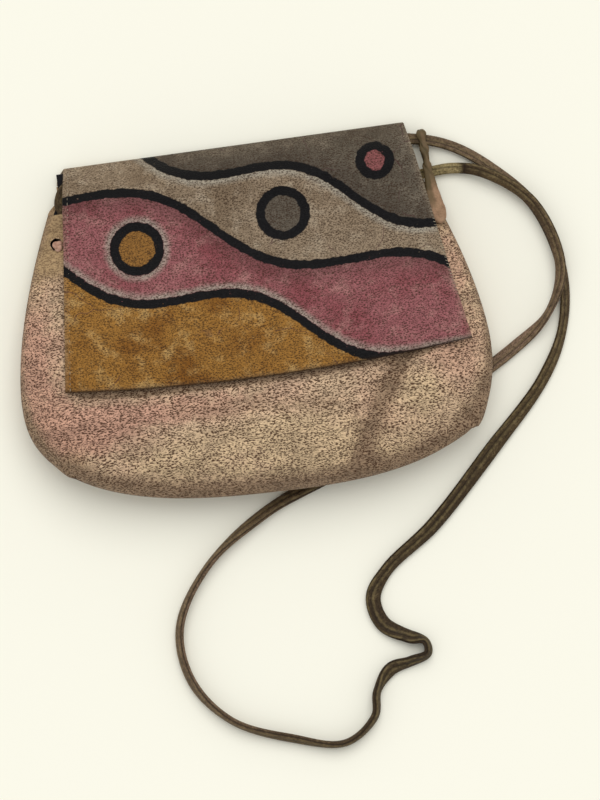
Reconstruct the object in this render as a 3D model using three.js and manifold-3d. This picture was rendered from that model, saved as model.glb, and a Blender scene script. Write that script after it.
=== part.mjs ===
// A small soft leather crossbody bag lying on its back, in millimetres.
// X runs across the bag, Y up the bag and Z out of its front. The origin is under the middle of the bag.
// The pouch is two leather panels sewn along the sides and bottom, each with a fabric lining.
// A painted flap hangs over the mouth from a fold above the back panel. One long folded strap is knotted
// into the left ear, runs through the fold and comes back to a leather tab on the right ear.

import * as THREE from "three";
import { mergeVertices } from "three/addons/utils/BufferGeometryUtils.js";
import Module from "manifold-3d";

const wasm = await Module();
wasm.setup();

// Pouch outline
const pouchWidth = 251;
const pouchHeight = 186;
const widestAbove = 65; // from the bottom up to the widest line
const mouthBelow = 24; // from the fold down to the edge of the mouth
const mouthWidth = 197;
const foldWidth = 184; // the back panel at the fold
const narrowingLength = 9; // over which the back panel narrows above the mouth
const shoulderLength = 14; // over which its sides come down flat above the mouth
const cornerPower = 2.55; // 2 is an ellipse, more is squarer
const taperPower = 1.6;
const edgeSteps = 60;

// The bottom hangs lower on the right than on the left
const leanCentre = 20;
const leanSlope = 0.03;
const leanBend = 0.0001;
const leanReach = 40;

// Pouch depth
const pouchDepth = 46;
const mouthDepth = 22;
const crownBelowWidest = 7;
const sideSeamHeight = 18;
const mouthSeamHeight = 9;
const frontRounding = 42;
const backRounding = 60;

// Layers
const leather = 1.4;
const lining = 0.5;
const seamGap = 0.3;
const liningGap = 0.8;
const hemDepth = 9; // the front panel is folded double along the mouth
const hemStep = 0.6; // over which the doubled leather ends
const liningBelowMouth = 23;
const liningTurn = 0.7; // how far the back lining follows the turned end of the back panel

// Flap
const flapTopWidth = 183;
const flapBottomWidth = 215;
const flapTopShift = 4.3; // the flap sits a little right of the middle
const flapBottomShift = 7;
const flapLength = 119;
const flapBottomSag = 5.5;
const flapClearance = 0.75; // between the flap's lining and the front panel
const flapStiffness = 14; // how far past the sewn edge the flap's own curve would come down
const flapLiningGap = 0.35;
const flapLiningInset = 2.4;
const hingeBelowFold = 1.2;
const hingeHeight = 5.2;
const hingeClearance = 0.35;

// Paint on the flap
const paintGap = 0.3;
const paintFilm = 0.35;
const paintMargin = 1.2;
const lineWidth = 5;
const paintTilt = THREE.MathUtils.degToRad(-20);

// Strap, its knot and the tab that holds its right end
const strapWidth = 8;
const strapThickness = 3.8;
const knotFromMouth = 16.4;
const knotFromEdge = 10.4;
const knotHoleRadius = 2.3;
const knotNeckRadius = 1.8;
const knotRadius = 2.5;
const knotInside = 4.4; // from the ear's inner face down to the end of the knot

const foldY = pouchHeight / 2;
const bottomY = -pouchHeight / 2;
const widestY = bottomY + widestAbove;
const mouthY = foldY - mouthBelow;
const hingeY = foldY - hingeBelowFold;
const flapEndY = foldY - flapLength;
const flapShell = leather / 2; // the flap's middle to either face

const smooth = (t) => {
  const c = THREE.MathUtils.clamp(t, 0, 1);
  return c * c * (3 - 2 * c);
};

const mix = (a, b, t) => a + (b - a) * t;

// Half the pouch's width at a height, for a shell that lies a given distance inside the outer face
function halfWidth(y, inset = 0) {
  const half = pouchWidth / 2 - inset;
  const mouthHalf = mouthWidth / 2 - inset;
  if (y > mouthY) {
    return mouthHalf - ((mouthWidth - foldWidth) / 2) * smooth((y - mouthY) / narrowingLength);
  }
  if (y > widestY) {
    return half - (half - mouthHalf) * Math.pow((y - widestY) / (mouthY - widestY), taperPower);
  }
  const drop = Math.min(1, (widestY - y) / (widestY - bottomY - inset));
  return half * Math.pow(1 - Math.pow(drop, cornerPower), 1 / cornerPower);
}

// The sewn edge as points, carried straight on past the mouth so that the mouth itself isn't an edge
const sewnEdge = [];
for (let i = 0; i <= edgeSteps; i++) {
  const y = mix(mouthY, widestY, i / edgeSteps);
  sewnEdge.push(new THREE.Vector2(halfWidth(y), y));
}
for (let i = 1; i <= edgeSteps; i++) {
  const y = widestY + (bottomY - widestY) * Math.sin((i / edgeSteps) * Math.PI * 0.5);
  sewnEdge.push(new THREE.Vector2(halfWidth(y), y));
}
const belowMouth = sewnEdge[edgeSteps / 5];
sewnEdge.unshift(new THREE.Vector2(2 * sewnEdge[0].x - belowMouth.x, 2 * mouthY - belowMouth.y));

function distanceToEdge(x, y) {
  const p = new THREE.Vector2(Math.abs(x), y);
  let best = Infinity;
  for (let i = 1; i < sewnEdge.length; i++) {
    const a = sewnEdge[i - 1];
    const b = sewnEdge[i];
    const along = b.clone().sub(a);
    const t = THREE.MathUtils.clamp(p.clone().sub(a).dot(along) / along.lengthSq(), 0, 1);
    best = Math.min(best, p.distanceTo(a.clone().addScaledVector(along, t)));
  }
  return best;
}

const seamHeight = (y) => mix(sideSeamHeight, mouthSeamHeight, smooth(y / mouthY));

// Share of the rise from the seam to the crown at a distance inside the sewn edge
function rise(distance, reach) {
  const t = THREE.MathUtils.clamp(distance / reach, 0, 1);
  return Math.sqrt(1 - (1 - t) * (1 - t));
}

const crownReach = mouthY - widestY + crownBelowWidest;
const crownHeight = (y) => mix(mouthDepth, pouchDepth, smooth((mouthY - y) / crownReach));

// Height of the front panel's shell that lies inset inside its outer face
function frontHeight(x, y, inset = 0) {
  const seam = seamHeight(y);
  return seam + (crownHeight(y) - inset - seam) * rise(distanceToEdge(x, y) - inset, frontRounding);
}

// Height of the back panel's inner face, or of a shell that lies raised above it
function backHeight(x, y, raised = 0) {
  const rim = mix(seamHeight(y) - seamGap, leather, smooth((y - mouthY) / shoulderLength));
  const t = Math.min(1, distanceToEdge(x, y) / backRounding);
  return leather + (rim - leather) * (1 - t) * (1 - t) + raised;
}

// Where a point of the pouch ends up when its bottom leans
function leanedY(x, y) {
  const out = x - leanCentre;
  return y - (leanSlope * out + leanBend * out * out) * smooth((widestY - y) / leanReach);
}

// Closed solids from grids of points

function solidFromTriangles(triangles) {
  const geometry = new THREE.BufferGeometry();
  const flat = [];
  for (const corner of triangles.flat()) flat.push(corner.x, corner.y, corner.z);
  geometry.setAttribute("position", new THREE.Float32BufferAttribute(flat, 3));
  const merged = mergeVertices(geometry, 1e-4);
  const kept = [];
  for (let i = 0; i < merged.index.count; i += 3) {
    const [a, b, c] = [0, 1, 2].map((k) => merged.index.getX(i + k));
    if (a !== b && b !== c && a !== c) kept.push(a, b, c);
  }
  merged.setIndex(kept);
  return merged;
}

// A sheet between two grids of the same size. outer[row][column] faces up, with rows running down the
// bag and columns from left to right.
function sheet(outer, inner) {
  const triangles = [];
  const quad = (a, b, c, d) => triangles.push([a, b, c], [a, c, d]);
  const rows = outer.length;
  const columns = outer[0].length;
  for (let r = 1; r < rows; r++) {
    for (let c = 1; c < columns; c++) {
      quad(outer[r - 1][c - 1], outer[r][c - 1], outer[r][c], outer[r - 1][c]);
      quad(inner[r - 1][c - 1], inner[r - 1][c], inner[r][c], inner[r][c - 1]);
    }
  }
  for (let c = 1; c < columns; c++) {
    quad(outer[0][c - 1], outer[0][c], inner[0][c], inner[0][c - 1]);
    quad(outer[rows - 1][c], outer[rows - 1][c - 1], inner[rows - 1][c - 1], inner[rows - 1][c]);
  }
  for (let r = 1; r < rows; r++) {
    const last = columns - 1;
    quad(outer[r][0], outer[r - 1][0], inner[r - 1][0], inner[r][0]);
    quad(outer[r - 1][last], outer[r][last], inner[r][last], inner[r - 1][last]);
  }
  return solidFromTriangles(triangles);
}

// A strip swept through stations, each with a centre, a direction across it, a width and a thickness
function sweep(stations, sides) {
  const centres = stations.map((s) => s.centre);
  const rings = stations.map((s, i) => {
    const before = centres[Math.max(0, i - 1)];
    const after = centres[Math.min(centres.length - 1, i + 1)];
    const along = after.clone().sub(before).normalize();
    const across = s.across.clone().addScaledVector(along, -s.across.dot(along)).normalize();
    const up = along.clone().cross(across);
    return Array.from({ length: sides }, (_, k) => {
      const angle = ((k + 0.5) / sides) * 2 * Math.PI;
      const stretch = 1 / Math.cos(Math.PI / sides);
      return s.centre
        .clone()
        .addScaledVector(across, (Math.cos(angle) * stretch * s.width) / 2)
        .addScaledVector(up, (Math.sin(angle) * stretch * s.thickness) / 2);
    });
  });
  const triangles = [];
  for (let i = 1; i < rings.length; i++) {
    for (let k = 0; k < sides; k++) {
      const n = (k + 1) % sides;
      triangles.push([rings[i - 1][k], rings[i - 1][n], rings[i][n]]);
      triangles.push([rings[i - 1][k], rings[i][n], rings[i][k]]);
    }
  }
  const last = rings.length - 1;
  for (let k = 0; k < sides; k++) {
    const n = (k + 1) % sides;
    triangles.push([centres[0], rings[0][n], rings[0][k]]);
    triangles.push([centres[last], rings[last][k], rings[last][n]]);
  }
  return solidFromTriangles(triangles);
}

// Cutting and joining

function toManifold(geometry) {
  const bare = new THREE.BufferGeometry();
  bare.setAttribute("position", geometry.getAttribute("position"));
  if (geometry.index) bare.setIndex(geometry.index);
  const merged = mergeVertices(bare, 1e-4);
  return new wasm.Manifold(
    new wasm.Mesh({
      numProp: 3,
      vertProperties: new Float32Array(merged.getAttribute("position").array),
      triVerts: new Uint32Array(merged.index.array),
    }),
  );
}

function fromManifold(solid) {
  const mesh = solid.getMesh();
  const geometry = new THREE.BufferGeometry();
  geometry.setAttribute("position", new THREE.BufferAttribute(new Float32Array(mesh.vertProperties), 3));
  geometry.setIndex(new THREE.BufferAttribute(new Uint32Array(mesh.triVerts), 1));
  return geometry;
}

// Materials

const paintable = { metalness: 0, roughness: 0.75 };
const bodyLeather = new THREE.MeshStandardMaterial({ color: 0xb08f76, metalness: 0, roughness: 0.7 });
const flapSuede = new THREE.MeshStandardMaterial({ color: 0x8a7b68, metalness: 0, roughness: 0.8 });
const blackFabric = new THREE.MeshStandardMaterial({ color: 0x17161a, metalness: 0, roughness: 0.9 });
const strapLeather = new THREE.MeshStandardMaterial({ color: 0x5e4f3b, metalness: 0, roughness: 0.65 });
const knotLeather = new THREE.MeshStandardMaterial({ color: 0xb98f7b, metalness: 0, roughness: 0.8 });
const inkPaint = new THREE.MeshStandardMaterial({ color: 0x1d1b1e, ...paintable });
const ochrePaint = new THREE.MeshStandardMaterial({ color: 0x9a6a2e, ...paintable });
const rosePaint = new THREE.MeshStandardMaterial({ color: 0x86484d, ...paintable });
const stonePaint = new THREE.MeshStandardMaterial({ color: 0x9b8b76, ...paintable });
const slatePaint = new THREE.MeshStandardMaterial({ color: 0x625a4e, ...paintable });

const bag = new THREE.Group();

function addPiece(name, geometry, material) {
  geometry.computeVertexNormals();
  const mesh = new THREE.Mesh(geometry, material);
  mesh.name = name;
  bag.add(mesh);
  return mesh;
}

// Front panel and its lining

// A shell's rows run from 0 at the mouth through 1 at the widest line to 2 at the bottom point
const rowAt = (y) => (mouthY - y) / (mouthY - widestY);

function rowsDown(top, upper, lower) {
  const down = Array.from({ length: upper }, (_, i) => mix(rowAt(top), 1, i / upper));
  return down.concat(Array.from({ length: lower + 1 }, (_, i) => 1 + i / lower));
}

function rowY(row, inset) {
  if (row <= 1) return mix(mouthY, widestY, row);
  return widestY - (widestY - bottomY - inset) * Math.sin((row - 1) * Math.PI * 0.5);
}

function frontGrid(rows, columns, insetAt) {
  return rows.map((row) => {
    const inset = insetAt(row);
    const y = rowY(row, inset);
    const half = halfWidth(y, inset);
    return Array.from({ length: columns + 1 }, (_, c) => {
      const x = half * Math.sin((c / columns - 0.5) * Math.PI);
      const onRim = c === 0 || c === columns || half < 1e-6;
      return new THREE.Vector3(x, leanedY(x, y), onRim ? seamHeight(y) : frontHeight(x, y, inset));
    });
  });
}

function makeFrontPanel() {
  const hem = rowAt(mouthY - hemDepth);
  const rows = [0, hem / 2, hem].concat(rowsDown(mouthY - hemDepth - hemStep, 7, 8));
  const thickness = (row) => (row <= hem ? 2 * leather : leather);
  const panel = sheet(
    frontGrid(rows, 20, () => 0),
    frontGrid(rows, 20, thickness),
  );
  const hole = new THREE.CylinderGeometry(knotHoleRadius, knotHoleRadius, pouchDepth, 16);
  hole.rotateX(Math.PI / 2);
  hole.translate(knotX, knotY, mouthDepth);
  return fromManifold(toManifold(panel).subtract(toManifold(hole)));
}

function makeFrontLining() {
  const outside = leather + liningGap;
  const rows = rowsDown(mouthY - liningBelowMouth, 5, 8);
  return sheet(
    frontGrid(rows, 20, () => outside),
    frontGrid(rows, 20, () => outside + lining),
  );
}

// Back panel and its lining

// The back panel's top turns up under the flap's hinge, as a quarter of an ellipse in Y and Z
const turnStartY = mouthY + shoulderLength;
const turnEndY = hingeY + leather * 0.35;
const turnEndZ = hingeHeight - leather / 2 - hingeClearance - leather * 0.25;

const shoulderRows = [1, 0.66, 0.33].map((share) => rowAt(mix(mouthY, turnStartY, share)));

function backTurn(s, offset) {
  const angle = (s * Math.PI) / 2;
  const reachY = turnEndY - turnStartY;
  const reachZ = turnEndZ - leather / 2;
  const y = turnStartY + reachY * Math.sin(angle);
  const z = leather / 2 + reachZ * (1 - Math.cos(angle));
  const normal = new THREE.Vector2(-reachZ * Math.sin(angle), reachY * Math.cos(angle)).normalize();
  return { y: y + normal.x * offset, z: z + normal.y * offset, width: halfWidth(y) };
}

function backGrid(rows, columns, insetAt, raised, turnSteps, turnEnd = 1) {
  const across = (half, y, height) =>
    Array.from({ length: columns + 1 }, (_, c) => {
      const x = half * Math.sin((c / columns - 0.5) * Math.PI);
      return new THREE.Vector3(x, leanedY(x, y), height(x));
    });
  const turned = Array.from({ length: turnSteps }, (_, i) => {
    const turn = backTurn(turnEnd * (1 - i / turnSteps), raised + leather / 2);
    return across(turn.width - insetAt(turn.y), turn.y, () => turn.z);
  });
  const flat = rows.map((row) => {
    const inset = insetAt(rowY(row, 0));
    const y = rowY(row, inset);
    return across(halfWidth(y, inset), y, (x) => backHeight(x, y, raised));
  });
  return turned.concat(flat);
}

function makeBackPanel() {
  const rows = shoulderRows.concat(rowsDown(mouthY, 6, 7));
  return sheet(backGrid(rows, 16, () => 0, 0, 4), backGrid(rows, 16, () => 0, -leather, 4));
}

// The back lining keeps inside the front panel's hem, and above the mouth reaches the panel's edges
function makeBackLining() {
  const insideHem = 2 * leather + 0.5;
  const insetAt = (y) => mix(insideHem, 0.8, smooth((y - mouthY) / shoulderLength));
  const rows = shoulderRows.concat(rowsDown(mouthY, 6, 7));
  const top = backGrid(rows, 16, insetAt, liningGap + lining, 3, liningTurn);
  return sheet(top, backGrid(rows, 16, insetAt, liningGap, 3, liningTurn));
}

// Knot of the strap's left end, in the hole punched in the left ear

const knotY = mouthY - knotFromMouth;
const knotX = -(halfWidth(knotY) - knotFromEdge);

function makeKnot() {
  const outside = frontHeight(knotX, knotY);
  const inside = outside - leather - knotInside;
  const profile = [
    [0, inside],
    [knotRadius, inside],
    [knotRadius, inside + 1.6],
    [knotNeckRadius, inside + 2.4],
    [knotNeckRadius, outside + 0.7],
    [knotRadius, outside + 1.5],
    [knotRadius, outside + 2.6],
    [knotRadius * 0.6, outside + 3.4],
    [0, outside + 3.6],
  ];
  const knot = new THREE.LatheGeometry(
    profile.map(([r, z]) => new THREE.Vector2(r, z)),
    12,
  );
  knot.rotateX(Math.PI / 2);
  knot.translate(knotX, knotY, 0);
  return knot;
}

// Flap

// The surface that the flap lies over: the front panel, stiffer towards the sides, and from its mouth a
// round fall to the hinge
const hingeRise = (y) => {
  const share = THREE.MathUtils.clamp((hingeY - y) / (hingeY - mouthY), 0, 1);
  return Math.sin(share * Math.PI * 0.5);
};

function overPouch(x, y) {
  const inside = Math.abs(x) < halfWidth(y) ? distanceToEdge(x, y) : -distanceToEdge(x, y);
  const share = rise(inside + flapStiffness, frontRounding + flapStiffness);
  return mix(seamHeight(y), crownHeight(y), share);
}

const flapSupport = (x, y) => mix(hingeHeight, overPouch(x, Math.min(y, mouthY)), hingeRise(y));

function flapNormal(x, y) {
  const step = 0.5;
  const alongX = (flapSupport(x + step, y) - flapSupport(x - step, y)) / (2 * step);
  const alongY = (flapSupport(x, y + step) - flapSupport(x, y - step)) / (2 * step);
  return new THREE.Vector3(-alongX, -alongY, 1).normalize();
}

// A point of the flap: u runs from its left edge to its right and v from the hinge to its free edge.
// offset is the distance from the middle of the leather, outwards.
function flapPoint(u, v, offset) {
  const side = 2 * u - 1;
  const freeY = flapEndY - flapBottomSag * (1 - side * side);
  const y = mix(hingeY, freeY, v);
  const width = mix(flapTopWidth, flapBottomWidth, v);
  const x = mix(flapTopShift, flapBottomShift, v) + (side * width) / 2;
  const lift = flapClearance + lining + flapLiningGap + flapShell;
  const normal = flapNormal(x, Math.min(y, hingeY - 0.5));
  return new THREE.Vector3(x, y, flapSupport(x, y)).addScaledVector(normal, lift * hingeRise(y) + offset);
}

const flapColumns = 16;
// Rows are closer together over the fold
const flapRows = Array.from({ length: 13 }, (_, i) => Math.pow(i / 12, 1.4));

function flapGrid(offset, sideInset = 0, firstRow = 0, endInset = 0) {
  return flapRows.slice(firstRow).map((v) =>
    Array.from({ length: flapColumns + 1 }, (_, c) => {
      const inset = sideInset / flapTopWidth;
      return flapPoint(mix(inset, 1 - inset, c / flapColumns), v * (1 - endInset / flapLength), offset);
    }),
  );
}

function makeFlapLining() {
  const top = -flapShell - flapLiningGap;
  return sheet(
    flapGrid(top, flapLiningInset, 1, flapLiningInset),
    flapGrid(top - lining, flapLiningInset, 1, flapLiningInset),
  );
}

// Paint on the flap: three waves of ink part four fields of colour, with a plain disc in three of them.
// Places are shares of the flap's length, along and across waves that fall to the right.

const waves = [
  { level: -0.25, height: 0.075, length: 1.1, crest: 0.04 },
  { level: 0.08, height: 0.085, length: 1.26, crest: -0.5 },
  { level: 0.36, height: 0.07, length: 1.0, crest: 0.13 },
];
const discs = [
  { name: "left", along: -0.5, level: -0.08, radius: 0.1, fill: ochrePaint },
  { name: "middle", along: 0.1, level: 0.213, radius: 0.1, fill: slatePaint },
  { name: "right", along: 0.45, level: 0.53, radius: 0.065, fill: rosePaint },
];
const paintReach = 1.4;
const paintMiddle = new THREE.Vector2(mix(flapTopShift, flapBottomShift, 0.5), foldY - flapLength / 2);

function paintPoint(along, level) {
  const place = new THREE.Vector2(along, level).multiplyScalar(flapLength);
  return place.rotateAround(new THREE.Vector2(0, 0), paintTilt).add(paintMiddle);
}

function wavePoint(wave, along, offset) {
  const level = wave.level + wave.height * Math.cos((2 * Math.PI * (along - wave.crest)) / wave.length);
  return paintPoint(along, level + offset / flapLength);
}

// A band between two offset waves, as an upright prism
function wavePrism(lower, lowerOffset, upper, upperOffset) {
  const steps = 40;
  const along = Array.from({ length: steps + 1 }, (_, i) => mix(-paintReach, paintReach, i / steps));
  const outline = along.map((s) => wavePoint(lower, s, lowerOffset));
  outline.push(...along.reverse().map((s) => wavePoint(upper, s, upperOffset)));
  return prism(new THREE.Shape(outline));
}

function prism(shape) {
  const geometry = new THREE.ExtrudeGeometry(shape, {
    depth: 2 * pouchDepth,
    bevelEnabled: false,
    curveSegments: 10,
  });
  geometry.deleteAttribute("normal");
  geometry.deleteAttribute("uv");
  return toManifold(geometry);
}

function discPrism(disc, grown) {
  const centre = paintPoint(disc.along, disc.level);
  const shape = new THREE.Shape();
  shape.absarc(centre.x, centre.y, disc.radius * flapLength + grown, 0, 2 * Math.PI);
  return prism(shape);
}

function makePaint() {
  const first = flapShell + paintGap;
  const filmGrid = (offset) => flapGrid(offset, paintMargin, 1, paintMargin);
  const film = toManifold(sheet(filmGrid(first + paintFilm), filmGrid(first)));
  const half = lineWidth / 2;
  const edge = half + paintGap;
  const floor = { ...waves[0], level: waves[0].level - paintReach };
  const roof = { ...waves[2], level: waves[2].level + paintReach };
  const pieces = [
    ["paint_ink_wave_lower", wavePrism(waves[0], -half, waves[0], half), inkPaint],
    ["paint_ink_wave_middle", wavePrism(waves[1], -half, waves[1], half), inkPaint],
    ["paint_ink_wave_upper", wavePrism(waves[2], -half, waves[2], half), inkPaint],
    ["paint_field_ochre", wavePrism(floor, 0, waves[0], -edge), ochrePaint],
    ["paint_field_rose", wavePrism(waves[0], edge, waves[1], -edge), rosePaint],
    ["paint_field_stone", wavePrism(waves[1], edge, waves[2], -edge), stonePaint],
    ["paint_field_slate", wavePrism(waves[2], edge, roof, 0), slatePaint],
  ];
  const holes = discs.map((disc) => discPrism(disc, edge));
  for (const [name, region, material] of pieces) {
    let cut = region.intersect(film);
    for (const hole of holes) cut = cut.subtract(hole);
    addPiece(name, fromManifold(cut), material);
  }
  for (const disc of discs) {
    const ring = discPrism(disc, half).subtract(discPrism(disc, -half));
    addPiece(`paint_ink_ring_${disc.name}`, fromManifold(ring.intersect(film)), inkPaint);
    const fill = discPrism(disc, -edge).intersect(film);
    addPiece(`paint_disc_${disc.name}`, fromManifold(fill), disc.fill);
  }
}

// Strap: a leather strip folded to a flat cord. Each point is x, y, how far its underside is off the
// floor, how far it is turned on edge, from 0, flat, to 1, on edge, and its width where that isn't usual.
const strapRoute = [
  [-94.5, 55.6, 9.6, 0, 4.2],
  [-89.2, 68, 9.2, 0, 7.4],
  [-90.2, 75, 6.9, 0],
  [-86.2, 82, 4.5, 0],
  [-76, 84.4, 3.6, 0],
  [80, 84.6, 3.2, 0],
  [103, 82.7, 2.6, 0.25, 6],
  [121, 75.9, 0.8, 0.25, 6],
  [140, 61.3, 0, 0.25, 6],
  [159.3, 38.4, 0, 0.25, 6],
  [168.7, 3, 0, 0.33, 5.8],
  [164.7, -26.7, 0, 0.45, 6],
  [150.8, -52.2, 0, 0.4, 7],
  [118.6, -85.8, 0, 0.1],
  [82.1, -121.6, 0, 0.32],
  [54.5, -141.7, 0, 0.35, 7.4],
  [45.2, -155.5, 0, 0, 8.2],
  [48.6, -170, 0, 0, 8.5],
  [61, -178.4, 0, 0.4],
  [69.6, -182.2, 0, 0.9],
  [70, -188.7, 0, 0.85],
  [60.5, -191.7, 0, 0.62, 7.6],
  [49.4, -194.4, 0, 0.35],
  [40.6, -205, 0, 0.85],
  [37.6, -218, 0, 0.9],
  [20.5, -230, 0, 1],
  [-7.3, -223.9, 0, 0.8],
  [-37.9, -210.4, 0, 0.95],
  [-56.3, -187, 0, 0.8],
  [-58.9, -157.5, 0, 0.85],
  [-39.8, -127.1, 0, 1],
  [-6.2, -103.2, 0, 0.6],
  [42, -83, 0, 0.2],
  [137.5, -34.2, 0, 0.1, 6.8],
  [158.6, -17.4, 2.4, 0.7, 6],
  [168, 6, 5.4, 0.3, 6],
  [158, 41, 5.2, 0.25, 6],
  [134.5, 60.6, 4.9, 0.15, 6.2],
  [118, 65.2, 1.5, 0.05, 6],
  [91.5, 63.4, 1.2, 0, 5],
];
const strapSides = 8;
const stepsPerPoint = 2;

function strapStations() {
  const curve = new THREE.CatmullRomCurve3(strapRoute.map(([x, y]) => new THREE.Vector3(x, y, 0)));
  const steps = (strapRoute.length - 1) * stepsPerPoint;
  return Array.from({ length: steps + 1 }, (_, i) => {
    const from = strapRoute[Math.floor(i / stepsPerPoint)];
    const to = strapRoute[Math.ceil(i / stepsPerPoint)];
    const share = (i % stepsPerPoint) / stepsPerPoint;
    const lift = mix(from[2], to[2], share);
    const turn = (mix(from[3], to[3], share) * Math.PI) / 2;
    const width = mix(from[4] ?? strapWidth, to[4] ?? strapWidth, share);
    const along = curve.getTangent(i / steps);
    const across = new THREE.Vector3(along.y, -along.x, 0).multiplyScalar(Math.cos(turn));
    across.z = Math.sin(turn);
    const corner = 1 / Math.cos(Math.PI / strapSides);
    const halfHeight = 0.5 * corner * Math.hypot(width * Math.sin(turn), strapThickness * Math.cos(turn));
    const centre = curve.getPoint(i / steps);
    centre.z = lift + halfHeight;
    return { centre, across, width, thickness: strapThickness };
  });
}

// Tab on the right ear: a folded leather drop whose twisted neck hooks round the strap where it leaves
// the fold. Each point is x from the ear's corner, y from the mouth, z from the seam there, the width,
// the thickness and how steeply its outer side hangs down.
const tabRoute = [
  [9.1, -32.6, 12.1, 3, 2.2, 0.6],
  [8.9, -29.5, 11.4, 6.8, 3, 0.65],
  [8.4, -25, 9.7, 8.8, 3.2, 0.7],
  [7.7, -19, 7.2, 8.4, 3.2, 0.7],
  [7.1, -13, 4.7, 7, 3, 0.6],
  [6.8, -7.5, 3.2, 6, 3, 0.4],
  [6.4, -2.5, 2.2, 4.8, 2.8, 0.25],
  [6.5, 2.8, 1.2, 3.2, 2.6, 0.1],
  [6.2, 7.5, 0.4, 4.2, 2.2, 0],
  [5.8, 12.5, -0.4, 4.5, 1.6, 0],
  [5.6, 16.2, -0.6, 4.6, 1.5, 0],
  [5.6, 18.4, -3.9, 4.4, 1.5, 0],
  [5.7, 16.2, -7.6, 4.4, 1.5, 0],
  [5.8, 11.5, -7.8, 4.4, 1.5, 0],
  [6.2, 6, -5.6, 4, 1.5, 0],
  [6.5, 0.5, -1.6, 3.2, 1.5, 0],
];

function tabStations() {
  const corner = new THREE.Vector3(mouthWidth / 2, mouthY, mouthSeamHeight);
  return tabRoute.map(([x, y, z, width, thickness, droop]) => ({
    centre: new THREE.Vector3(x, y, z).add(corner),
    across: new THREE.Vector3(1, 0, -droop),
    width,
    thickness,
  }));
}

addPiece("back_panel", makeBackPanel(), bodyLeather);
addPiece("lining_back", makeBackLining(), blackFabric);
addPiece("front_panel", makeFrontPanel(), bodyLeather);
addPiece("lining_front", makeFrontLining(), blackFabric);
addPiece("strap", sweep(strapStations(), strapSides), strapLeather);
addPiece("strap_knot_left", makeKnot(), knotLeather);
addPiece("strap_tab_right", sweep(tabStations(), 6), strapLeather);
addPiece("flap_leather", sheet(flapGrid(flapShell), flapGrid(-flapShell)), flapSuede);
addPiece("flap_lining", makeFlapLining(), blackFabric);
makePaint();

export default bag;
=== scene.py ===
# %% [markdown]
# # A small leather flap pouch with a long strap
# The bag lies on its back on a pale floor, seen from straight above. It is soft leather, so nearly
# every piece here is a curved sheet: a grid of points that a rule puts in place, with real thickness.
# All sizes are in millimetres in the script and become metres when a mesh is made.

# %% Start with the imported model
import math

import bmesh
import bpy
import numpy as np
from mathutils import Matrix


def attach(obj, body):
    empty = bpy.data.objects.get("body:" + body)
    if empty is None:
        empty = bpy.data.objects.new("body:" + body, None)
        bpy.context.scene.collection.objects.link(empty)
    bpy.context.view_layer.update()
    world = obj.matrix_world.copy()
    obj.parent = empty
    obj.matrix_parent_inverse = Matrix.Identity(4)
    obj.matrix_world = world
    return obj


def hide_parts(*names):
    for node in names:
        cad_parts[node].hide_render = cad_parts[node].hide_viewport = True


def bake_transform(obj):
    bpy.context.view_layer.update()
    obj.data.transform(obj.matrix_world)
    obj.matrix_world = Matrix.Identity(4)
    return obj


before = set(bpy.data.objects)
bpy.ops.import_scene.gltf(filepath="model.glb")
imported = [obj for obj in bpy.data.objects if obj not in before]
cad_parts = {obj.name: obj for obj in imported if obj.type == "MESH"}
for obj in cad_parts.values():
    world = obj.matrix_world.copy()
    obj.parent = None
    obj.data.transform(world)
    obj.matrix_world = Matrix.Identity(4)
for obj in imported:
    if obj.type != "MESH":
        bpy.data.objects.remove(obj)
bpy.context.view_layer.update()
scene = bpy.context.scene
scene.view_settings.view_transform = "Standard"

# %% [markdown]
# ## Camera, floor and light
# The photograph looks straight down, from far enough away that nothing shows perspective. A long lens
# above the bag gives that. The bag lies a few degrees askew in the picture, so the camera is turned.

# %% Camera
MM = 0.001
view_middle = (21.0, -46.0)
view_height = 424.0
view_turn = math.radians(-7.85)
camera_distance = 4000.0
scale_plane = 20.0
sensor = 36.0

camera_data = bpy.data.cameras.new("overhead")
camera_data.sensor_width = sensor
camera_data.lens = sensor * camera_distance / view_height
camera = bpy.data.objects.new("overhead", camera_data)
camera.location = (view_middle[0] * MM, view_middle[1] * MM, (camera_distance + scale_plane) * MM)
camera.rotation_euler = (0, 0, view_turn)
scene.collection.objects.link(camera)
scene.camera = camera
print("lens", round(camera_data.lens, 1), "mm")

# %% [markdown]
# A node tree is long to write out step by step. This small class holds one tree and has a short method
# for each kind of step, so that a material below reads like a recipe.

# %% A recipe for node trees


def colour(code):
    """A web colour as the linear values that a shader needs."""
    parts = [int(code[i:i + 2], 16) / 255 for i in (1, 3, 5)]
    linear = [p / 12.92 if p <= 0.04045 else ((p + 0.055) / 1.055) ** 2.4 for p in parts]
    return (*linear, 1.0)


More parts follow.
